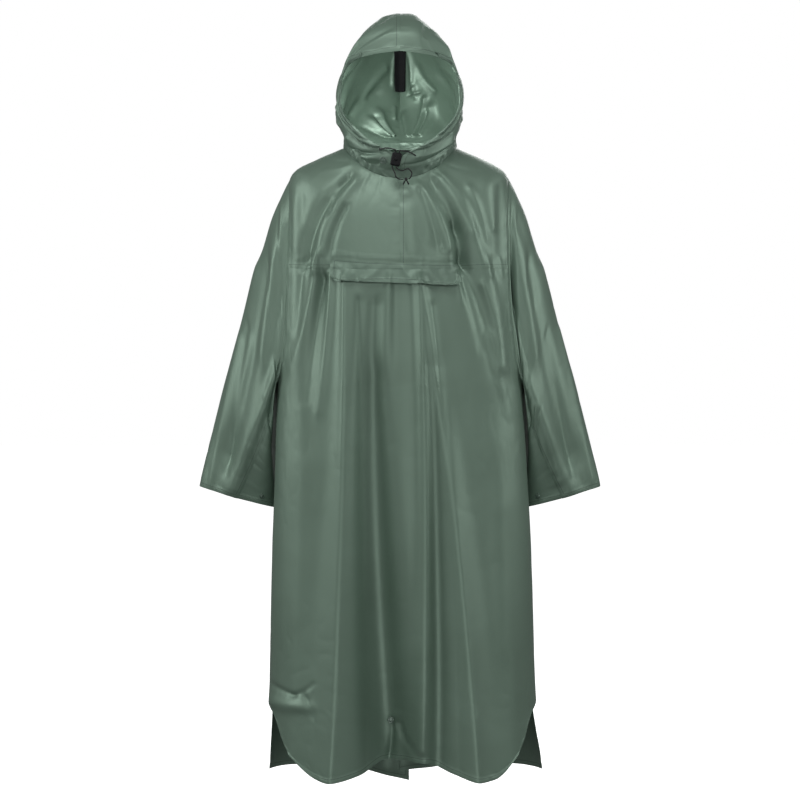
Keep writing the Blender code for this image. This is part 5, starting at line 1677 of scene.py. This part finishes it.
# ---------------------------------------------------------------- the hood
@dataclass
class Hood:
    """The hood's two halves, the casings along the face opening and the webbing inside."""

    rows: int = 128
    columns: int = 150
    below: float = 0.006
    channel_rows: int = 110
    channel_columns: int = 9
    channel_wide: float = 0.016
    channel_foot: float = 0.215
    channel_top: float = 0.885
    channel_set_back: float = 0.002
    channel_puff: float = 0.0016
    channel_pucker: float = 0.0006
    strap_top: float = 0.50
    strap_foot: float = 0.80
    strap_wide: float = 0.027
    strap_narrow: float = 0.019
    strap_thick: float = 0.0016
    strap_stand: float = 0.0006
    strap_hang: float = 0.006
    strap_rows: int = 40
    strap_columns: int = 9
    strap_rounds: int = 6
    back_start: float = 0.70

    def half(self, side: Side) -> bpy.types.Object:
        """Make one half and its casing.

        Args:
            side: Which one.

        Returns:
            The half's object.
        """
        form = HoodForm(side)
        up, back = grid_of(self.rows, self.columns)
        up = (1.0 + self.below) * up - self.below
        points = form.point(back, up)
        half = Panel("hood_" + side.label, points, grid_normals(points, form.outward(back, up)),
                     foot=Edging.FELLED if side is Side.RIGHT else Edging.JOINED, first=Edging.HEM,
                     seed=170 + int(side.value), rests_on=["neckband"]).build()
        self.channel(side)
        return half

    def channel(self, side: Side) -> bpy.types.Object:
        """Make the drawcord's casing beside one half of the face opening, puffed by the cord in it.

        Args:
            side: Which one.

        Returns:
            Its object.
        """
        form = HoodForm(side)
        share, across = grid_of(self.channel_rows, self.channel_columns)
        up = self.channel_foot + (self.channel_top - self.channel_foot) * share
        back = self.channel_set_back + across * self.channel_wide / form.deep
        points = form.point(back, up)
        outward = grid_normals(points, form.outward(back, up))
        middle = np.sin(np.pi * across)
        puff = self.channel_puff + self.channel_puff * middle ** 0.7
        puff = puff + self.channel_pucker * soft_noise(share * 0.2, across * 0.004, 0.007, 90) * middle
        placed = points + outward * puff[..., None]
        return Panel("face_channel_" + side.label, placed, grid_normals(placed, outward), top=Edging.CASING,
                     foot=Edging.CASING, first=Edging.CASING, last=Edging.CASING, finish=SHADED_TRIM, seed=180,
                     rests_on=["hood_" + side.label], held="laid").build()

    def strap(self, halves: BVHTree) -> bpy.types.Object:
        """Make the webbing down the inside of the hood's centre back, laid on both halves.

        Args:
            halves: The faces of both halves.

        Returns:
            Its object.
        """
        share, across = grid_of(self.strap_rows, self.strap_columns)
        place = self.strap_top + (self.strap_foot - self.strap_top) * share
        form = HoodForm(Side.LEFT)
        line = np.where((place < self.back_start)[..., None], form.knots(CROWN_SEAM, place / self.back_start),
                        form.knots(BACK_SEAM, (1.0 - place) / (1.0 - self.back_start)))
        along = unit(np.gradient(line, axis=0))
        inwards = stack(0.0, along[..., 2], -along[..., 1])
        width = self.strap_wide + (self.strap_narrow - self.strap_wide) * share
        spots = line + stack(width * (across - 0.5), 0.0, 0.0)
        spots = evened(laid_on(halves, spots, inwards), self.strap_rounds)
        stand = self.strap_thick / 2.0 + self.strap_stand + self.strap_hang * share ** 2
        placed = spots + inwards * stand[..., None]
        return Panel("hood_strap", placed, inwards, top=Edging.RAW, foot=Edging.RAW, first=Edging.RAW,
                     last=Edging.RAW, thickness=self.strap_thick, finish=WEBBING,
                     rests_on=["hood_left", "hood_right"]).build()

    def build(self) -> None:
        """Make the hood's pieces."""
        self.strap(faces_of(*[self.half(side) for side in Side]))


@dataclass
class Neckband:
    """The band between the neck seam and the hood, gathered on both sides of the throat."""

    gather_from: float = 14.0
    gather_to: float = 66.0
    gather_depth: float = 0.0026
    gather_size: float = 0.0060
    gather_broad: float = 0.0110
    throat_radius: float = 0.12
    foot_gap: float = 0.0003
    back_lap: float = 0.0003
    back_radius: float = 0.1
    collar_places: int = 29
    rows: int = 16
    columns: int = 420
    below: float = 0.15

    def point(self, angle: Points, up: Points) -> Points:
        """Give the band's points.

        Args:
            angle: Signed angles from the front.
            up: Shares up it.

        Returns:
            The points.
        """
        form = HoodForm(Side.LEFT)
        foot = TORSO.bare(angle, np.full_like(angle, TORSO.neck_drop))
        foot = foot + stack(-np.sin(angle), np.cos(angle), 1.0) * self.foot_gap
        steps = np.linspace(-np.pi, np.pi, self.collar_places)
        knots = form.collar(steps)
        top = np.stack([np.interp(angle, steps, knots[:, axis]) for axis in range(3)], axis=-1)
        place = (np.degrees(np.abs(angle)) - self.gather_from) / (self.gather_to - self.gather_from)
        inside = ease(place * 4.0) * ease((1.0 - place) * 4.0)
        run = angle * self.throat_radius
        broad = 0.6 * soft_noise(run, 0.0 * run, self.gather_broad, 62)
        gathers = soft_noise(run, 0.0 * run, self.gather_size, 61) + broad
        pleat = self.gather_depth * gathers * (0.25 + inside) * np.sin(np.pi * np.clip(up, 0, 1)) ** 0.7
        radial = stack(np.sin(angle), -np.cos(angle), 0.0)
        share = up[..., None]
        return foot * (1.0 - share) + top * share + radial * pleat[..., None]

    def build(self) -> bpy.types.Object:
        """Make the band.

        Returns:
            Its object.
        """
        back = math.pi + self.back_lap / self.back_radius
        up, share = grid_of(self.rows, self.columns)
        up = (1.0 + self.below) * up - self.below
        angle = back * (share * 2.0 - 1.0)
        points = self.point(angle, up)
        radial = stack(np.sin(angle), -np.cos(angle), 0.0)
        return Panel("neckband", points, grid_normals(points, radial), top=Edging.CASING, finish=SHADED_TRIM,
                     seed=190, held="gathered", rests_on=["front_yoke_left", "front_yoke_right"]).build()


# ---------------------------------------------------------------- the drawcord and the fastenings
def smooth_route(route: Sequence[Sequence[float]], step: float) -> Points:
    """Give evenly spaced points on a smooth curve through a route's points.

    Args:
        route: The points to pass through.
        step: About how far apart the new points are.

    Returns:
        The new points.
    """
    route = np.array(route, float)
    ends = np.vstack([2 * route[0] - route[1], route, 2 * route[-1] - route[-2]])
    dense = []
    for before, a, b, after in zip(ends, ends[1:], ends[2:], ends[3:]):
        for t in np.linspace(0.0, 1.0, 24, endpoint=False):
            dense.append(0.5 * (2 * a + (b - before) * t + (2 * before - 5 * a + 4 * b - after) * t * t
                                + (3 * a - before - 3 * b + after) * t ** 3))
    dense = np.vstack([dense, route[-1:]])
    run = run_along(dense)
    places = np.linspace(0.0, run[-1], max(16, round(run[-1] / step) + 1))
    return np.stack([np.interp(places, run, dense[:, axis]) for axis in range(3)], axis=-1)


@dataclass
class Drawcord:
    """The eyelets, the cord's stretches and knotted ends, its lock, knot and frayed tips."""

    diameter: float = 0.0024
    step: float = 0.0022
    lock_size: tuple[float, float, float] = (0.019, 0.012, 0.026)
    lock_centre: tuple[float, float, float] = (-0.0075, -0.1480, -0.0165)
    lock_tilt: float = math.radians(12.0)
    lock_holes: float = 0.0045
    lock_bevel: float = 0.0034
    lock_clear: float = 0.0003
    rib_step: float = 0.0031
    rib_proud: float = 0.0007
    rib_tall: float = 0.0012
    button_radii: tuple[float, float] = (0.0042, 0.0036)
    button_tall: float = 0.0016
    knot_centre: tuple[float, float, float] = (0.0116, -0.1515, -0.0550)
    knot_radius: float = 0.0033
    knot_tube: float = 0.48
    tip_long: float = 0.0075
    tip_spread: float = 0.55
    strands: int = 14
    strand_turn: float = 2.399
    strand_radii: tuple[float, float] = (0.00042, 0.00016)
    eyelet_radius: float = 0.0026
    eyelet_tube: float = 0.0009
    eyelet_places: dict[Side, tuple[float, float]] = field(default_factory=lambda: {
        Side.LEFT: (0.046, 0.115),
        Side.RIGHT: (0.050, 0.165),
    })
    end_routes: dict[Side, Sequence[tuple[float, float, float]]] = field(default_factory=lambda: {
        Side.LEFT: ((0.0039, -0.1500, -0.0385), (0.0154, -0.1520, -0.0350), (0.0228, -0.1525, -0.0430),
                    (0.0200, -0.1520, -0.0520), (0.0165, -0.1515, -0.0545)),
        Side.RIGHT: ((-0.0095, -0.1500, -0.0440), (-0.0075, -0.1510, -0.0510), (-0.0010, -0.1515, -0.0548),
                     (0.0062, -0.1515, -0.0552)),
    })

    def lock_spot(self, x: float, z: float) -> Vector:
        """Give a place just outside the lock's top (z above 0) or foot."""
        stand = math.copysign(self.lock_size[2] / 2.0 + self.lock_clear + self.diameter * 0.2, z)
        return Vector(self.lock_centre) + Matrix.Rotation(self.lock_tilt, 3, "Y") @ Vector((x, 0.0, stand))

    def cord(self, name: str, route: Sequence[Sequence[float]]) -> tuple[bpy.types.Object, Points]:
        """Sweep a round braided cord along a route.

        Args:
            name: The node that it stands for.
            route: The points to pass through.

        Returns:
            The piece and its middle line.
        """
        line = smooth_route(route, self.step)
        forward = unit(np.gradient(line, axis=0))
        aside = unit(np.cross(forward, np.array([0.13, 1.0, 0.21])))
        over = np.cross(aside, forward)
        turn = np.linspace(0.0, FULL_TURN, 13)
        ring = aside[:, None] * np.cos(turn)[None, :, None] + over[:, None] * np.sin(turn)[None, :, None]
        points = line[:, None] + ring * self.diameter / 2.0
        columns = points.shape[1]
        run = run_along(line)
        bm = bmesh.new()
        layer = bm.loops.layers.uv.new(CLOTH_MAP)
        lay_grid(bm, points)
        bm.verts.index_update()
        for face in bm.faces:
            for corner in face.loops:
                row, place = divmod(corner.vert.index, columns)
                around = place / (columns - 1) * math.pi * self.diameter
                corner[layer].uv = (around + run[row], around - run[row])
        seal(bm)
        return add_piece(name, bm, BRAID), line

    def lock(self) -> bpy.types.Object:
        """Make the spring lock: a rounded barrel with grip ribs, its holes and its button.

        Returns:
            Its object.
        """
        bm = bmesh.new()
        bmesh.ops.create_cube(bm, size=1.0)
        bmesh.ops.scale(bm, vec=self.lock_size, verts=bm.verts)
        bmesh.ops.bevel(bm, geom=bm.edges[:], offset=self.lock_bevel, segments=5, profile=0.5,
                        affect="EDGES", material=-1)
        rib_size = (self.lock_size[0] + self.rib_proud, self.lock_size[1] * 0.62, self.rib_tall)
        for number in range(-2, 2):
            rib = bmesh.ops.create_cube(bm, size=1.0)["verts"]
            bmesh.ops.scale(bm, vec=rib_size, verts=rib)
            bmesh.ops.translate(bm, vec=(0.0, 0.0, number * self.rib_step), verts=rib)
            edges = list({edge for vertex in rib for edge in vertex.link_edges})
            bmesh.ops.bevel(bm, geom=edges, offset=self.rib_tall / 4.0, segments=2, profile=0.5,
                            affect="EDGES", material=-1)
        button = bmesh.ops.create_cone(bm, cap_ends=True, segments=28, radius1=self.button_radii[0],
                                       radius2=self.button_radii[1], depth=self.button_tall)["verts"]
        bmesh.ops.rotate(bm, cent=(0, 0, 0), matrix=Matrix.Rotation(math.pi / 2.0, 3, "X"), verts=button)
        proud = -self.lock_size[1] / 2.0 - self.button_tall / 4.0
        bmesh.ops.translate(bm, vec=(0.0, proud, -0.0005), verts=button)
        turn = Matrix.Translation(self.lock_centre) @ Matrix.Rotation(self.lock_tilt, 4, "Y")
        bmesh.ops.transform(bm, matrix=turn, verts=bm.verts)
        return add_piece("cord_lock", bm, BLACK_PLASTIC)

    def knot(self) -> list[bpy.types.Object]:
        """Make the knot's wrapped turns and the two frayed tips.

        Returns:
            Their objects.
        """
        bm = bmesh.new()
        tube = self.knot_radius * self.knot_tube
        for lean, grow in ((0.5, 1.0), (-0.6, 0.92), (1.6, 0.84)):
            ring = add_ring(bm, self.knot_radius * (1.0 - self.knot_tube) * grow, tube, 28)
            turn = Matrix.Rotation(lean, 4, "X") @ Matrix.Rotation(lean, 4, "Y")
            bmesh.ops.transform(bm, matrix=turn, verts=ring)
        seal(bm)
        map_upright(bm)
        bmesh.ops.translate(bm, vec=self.knot_centre, verts=bm.verts)
        return [add_piece("cord_knot", bm, BRAID), *[self.tip(side) for side in Side]]

    def tip(self, side: Side) -> bpy.types.Object:
        """Make one frayed tip, a bundle of strands that part a little.

        Args:
            side: Which one.

        Returns:
            Its object.
        """
        down = Vector((self.tip_spread * side.value, 0.0, -1.0)).normalized()
        start = Vector(self.knot_centre) + down * self.knot_radius * 0.8
        draw = np.random.default_rng(31 + int(side.value))
        bm = bmesh.new()
        for strand in range(self.strands):
            round_place = strand * self.strand_turn
            spread = self.diameter * 0.32 * math.sqrt(strand / self.strands)
            aside = Vector((math.cos(round_place), math.sin(round_place), 0.0)) * spread
            lean = (down + Vector((draw.uniform(-0.22, 0.22), draw.uniform(-0.16, 0.16), 0.0))).normalized()
            long = self.tip_long * draw.uniform(0.85, 1.25) + self.knot_radius * 0.3
            mine = bmesh.ops.create_cone(bm, cap_ends=True, segments=6, radius1=self.strand_radii[0],
                                         radius2=self.strand_radii[1], depth=long)["verts"]
            place = Matrix.Translation(start + aside + lean * long / 2.0) @ turn_to(lean)
            bmesh.ops.transform(bm, matrix=place, verts=mine)
        map_upright(bm)
        return add_piece("cord_tip_" + side.label, bm, BRAID)

    def eyelet(self, side: Side) -> None:
        """Make one rolled metal eyelet where its node is, and the cord from it to the lock.

        Args:
            side: Which one.
        """
        name = "eyelet_" + side.label
        middle = middle_of(name)
        out = HoodForm(side).facing(*self.eyelet_places[side])
        bm = bmesh.new()
        add_ring(bm, self.eyelet_radius, self.eyelet_tube, 40)
        seal(bm)
        bmesh.ops.transform(bm, matrix=Matrix.Translation(middle) @ turn_to(out), verts=bm.verts)
        add_piece(name, bm, DARK_METAL)
        end = self.lock_spot(self.lock_holes * side.value, 1.0)
        over = middle.lerp(end, 0.45) + Vector((0.0, -0.006, 0.004))
        route = [middle - out * 0.001, middle + out * self.diameter, over, end + UPRIGHT * 0.004, end]
        self.cord("drawcord_" + side.label, route)

    def build(self) -> None:
        """Make every piece of the drawcord and log the lengths of its free ends."""
        self.lock()
        knot, *tips = self.knot()
        for side in Side:
            self.eyelet(side)
            foot = self.lock_spot(self.lock_holes * side.value, -1.0)
            route = [foot, foot - UPRIGHT * 0.003, *self.end_routes[side]]
            end, line = self.cord("drawcord_end_" + side.label, route)
            length = float(run_along(line)[-1])
            log.info("%s: %.4f m long", end.name, length)


@dataclass
class Snap:
    """A pressed snap: a domed cap in a rolled rim, where its node is."""

    node: str
    outward: Vector
    finish: Finish
    radius: float = 0.0062
    thick: float = 0.0022

    def build(self) -> bpy.types.Object:
        """Spin the snap's outline about its axis.

        Returns:
            Its object.
        """
        r, h = self.radius, self.thick
        outline = ((0.0, h * 0.62), (r * 0.30, h * 0.58), (r * 0.56, h * 0.42), (r * 0.64, h * 0.18),
                   (r * 0.70, h * 0.20), (r * 0.80, h * 0.44), (r * 0.92, h * 0.38), (r, h * 0.10),
                   (r * 0.98, -h * 0.30), (r * 0.86, -h * 0.50), (0.0, -h * 0.50))
        bm = bmesh.new()
        spots = [bm.verts.new((x, 0.0, z)) for x, z in outline]
        edges = [bm.edges.new(pair) for pair in zip(spots, spots[1:])]
        bmesh.ops.spin(bm, geom=spots + edges, cent=(0, 0, 0), axis=UPRIGHT, angle=FULL_TURN, steps=40,
                       use_merge=True)
        seal(bm)
        place = Matrix.Translation(middle_of(self.node)) @ turn_to(self.outward)
        bmesh.ops.transform(bm, matrix=place, verts=bm.verts)
        return add_piece(self.node, bm, self.finish)


@dataclass
class Fastenings:
    """The snaps on both cuffs, over the hem and at the throat."""

    cuff_round: float = 124.0
    hem_x: float = -0.0175
    hem_drop: float = 1.098
    throat_radius: float = 0.0075
    throat_back: float = 0.060
    throat_up: float = 0.075

    def build(self) -> None:
        """Make every snap, facing out of the cloth that it is on."""
        for side in Side:
            out = SleeveForm(side).outward(np.array(math.radians(self.cuff_round)))
            Snap("cuff_snap_" + side.label, Vector(out), DARK_METAL).build()
        Snap("hem_snap", self.facing_front(), DARK_METAL).build()
        out = HoodForm(Side.RIGHT).facing(self.throat_back, self.throat_up)
        Snap("throat_snap", out, GREEN_PLASTIC, radius=self.throat_radius).build()

    def facing_front(self) -> Vector:
        """Give the direction out of the front at the hem's snap."""
        x, drop = np.array(self.hem_x), np.array(self.hem_drop)
        return Vector(TORSO.outward(TORSO.angle_at(x, drop), drop))


# ---------------------------------------------------------------- the studio
@dataclass
class SoftBox:
    """A rectangular soft light."""

    name: str
    place: tuple[float, float, float]
    aim: tuple[float, float, float]
    wide: float
    tall: float
    power: float

    def build(self) -> None:
        """Hang the light and turn it to what it lights."""
        data = bpy.data.lights.new(self.name, "AREA")
        data.shape = "RECTANGLE"
        data.size, data.size_y = self.wide, self.tall
        data.energy = self.power
        light = bpy.data.objects.new(self.name, data)
        light.location = self.place
        light.rotation_euler = (Vector(self.aim) - Vector(self.place)).to_track_quat("-Z", "Y").to_euler()
        bpy.context.scene.collection.objects.link(light)


@dataclass
class Studio:
    """The camera, the pale floor, the white surround and the soft lights."""

    lens: float = 90.0
    sensor: float = 36.0
    camera_place: tuple[float, float, float] = (0.0, -4.0, -0.48)
    seen_to: float = 100.0
    floor_z: float = -1.50
    floor_size: float = 40.0
    floor_tone: tuple[float, float, float, float] = (0.80, 0.80, 0.80, 1.0)
    white: tuple[float, float, float, float] = (1.0, 1.0, 1.0, 1.0)
    surround: float = 0.16
    boxes: tuple[SoftBox, ...] = (
        SoftBox("front_box", (0.0, -4.2, 0.80), (0.0, 0.0, -0.50), 3.6, 1.1, 40.0),
        SoftBox("left_box", (-2.4, -0.6, 0.60), (0.0, 0.0, -0.30), 1.2, 2.2, 34.0),
        SoftBox("right_box", (2.4, -0.6, 0.60), (0.0, 0.0, -0.30), 1.2, 2.2, 29.0),
        SoftBox("top_box", (-0.3, -1.7, 2.3), (0.0, 0.0, -0.15), 1.5, 0.9, 34.0),
        SoftBox("foot_box", (0.0, -2.6, -1.38), (0.0, 0.0, -1.00), 2.4, 0.16, 12.0),
        SoftBox("hood_box", (-0.078, -0.108, 0.125), (0.055, 0.115, 0.060), 0.09, 0.09, 0.62),
        SoftBox("back_box", (0.5, 3.2, 1.2), (0.0, 0.0, -0.4), 2.2, 1.8, 46.0),
    )

    def camera(self) -> None:
        """Set the camera level, in front of the garment's middle."""
        data = bpy.data.cameras.new("camera")
        data.lens = self.lens
        data.sensor_width = self.sensor
        data.clip_end = self.seen_to
        camera = bpy.data.objects.new("camera", data)
        camera.location = self.camera_place
        camera.rotation_euler = (math.pi / 2.0, 0.0, 0.0)
        bpy.context.scene.collection.objects.link(camera)
        bpy.context.scene.camera = camera

    def floor(self) -> None:
        """Lay the pale floor."""
        bm = bmesh.new()
        bmesh.ops.create_grid(bm, x_segments=1, y_segments=1, size=self.floor_size)
        bmesh.ops.translate(bm, vec=(0.0, 0.0, self.floor_z), verts=bm.verts)
        mesh = bpy.data.meshes.new("floor")
        bm.to_mesh(mesh)
        bm.free()
        obj = bpy.data.objects.new("floor", mesh)
        bpy.context.scene.collection.objects.link(obj)
        material = bpy.data.materials.new("pale_floor")
        material.use_nodes = True
        shader = material.node_tree.nodes["Principled BSDF"]
        shader.inputs["Base Color"].default_value = self.floor_tone
        shader.inputs["Roughness"].default_value = 0.9
        shader.inputs["Emission Color"].default_value = self.white
        shader.inputs["Emission Strength"].default_value = 1.0
        mesh.materials.append(material)
        obj.visible_diffuse = False
        obj.visible_glossy = False
        obj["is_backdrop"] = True

    def world(self) -> None:
        """Surround the garment with white that lights it only softly."""
        world = bpy.data.worlds.new("studio")
        bpy.context.scene.world = world
        world.use_nodes = True
        wiring = Wiring(world.node_tree)
        sky = world.node_tree.nodes["Background"]
        seen = wiring.node("ShaderNodeLightPath").outputs["Is Camera Ray"]
        wiring.feed(sky.inputs["Color"], self.white)
        wiring.feed(sky.inputs["Strength"], wiring.ramp(seen, 0.0, 1.0, self.surround, 1.0))

    def build(self) -> None:
        """Set up the whole studio."""
        self.camera()
        self.floor()
        self.world()
        for box in self.boxes:
            box.build()
        bpy.context.scene.view_settings.view_transform = "Standard"


def corners(bounds: tuple[Vector, Vector]) -> list[list[float]]:
    """Give a box's two corners as plain lists."""
    return [[round(float(part), 6) for part in corner] for corner in bounds]


def main() -> None:
    """Build the studio and every piece of the poncho, and measure the bounds before and after."""
    logging.basicConfig(level=logging.INFO, format="%(name)s %(message)s")
    sizes = {"cad": corners(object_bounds())}
    Studio().build()
    Drawcord().build()
    front = Torso().build()
    Neckband().build()
    for side in Side:
        Sleeve(side).build()
    Hood().build()
    ChestFlap().build(faces_of(*front))
    Fastenings().build()
    sizes["visual"] = corners(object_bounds())


if __name__ == "__main__":
    main()
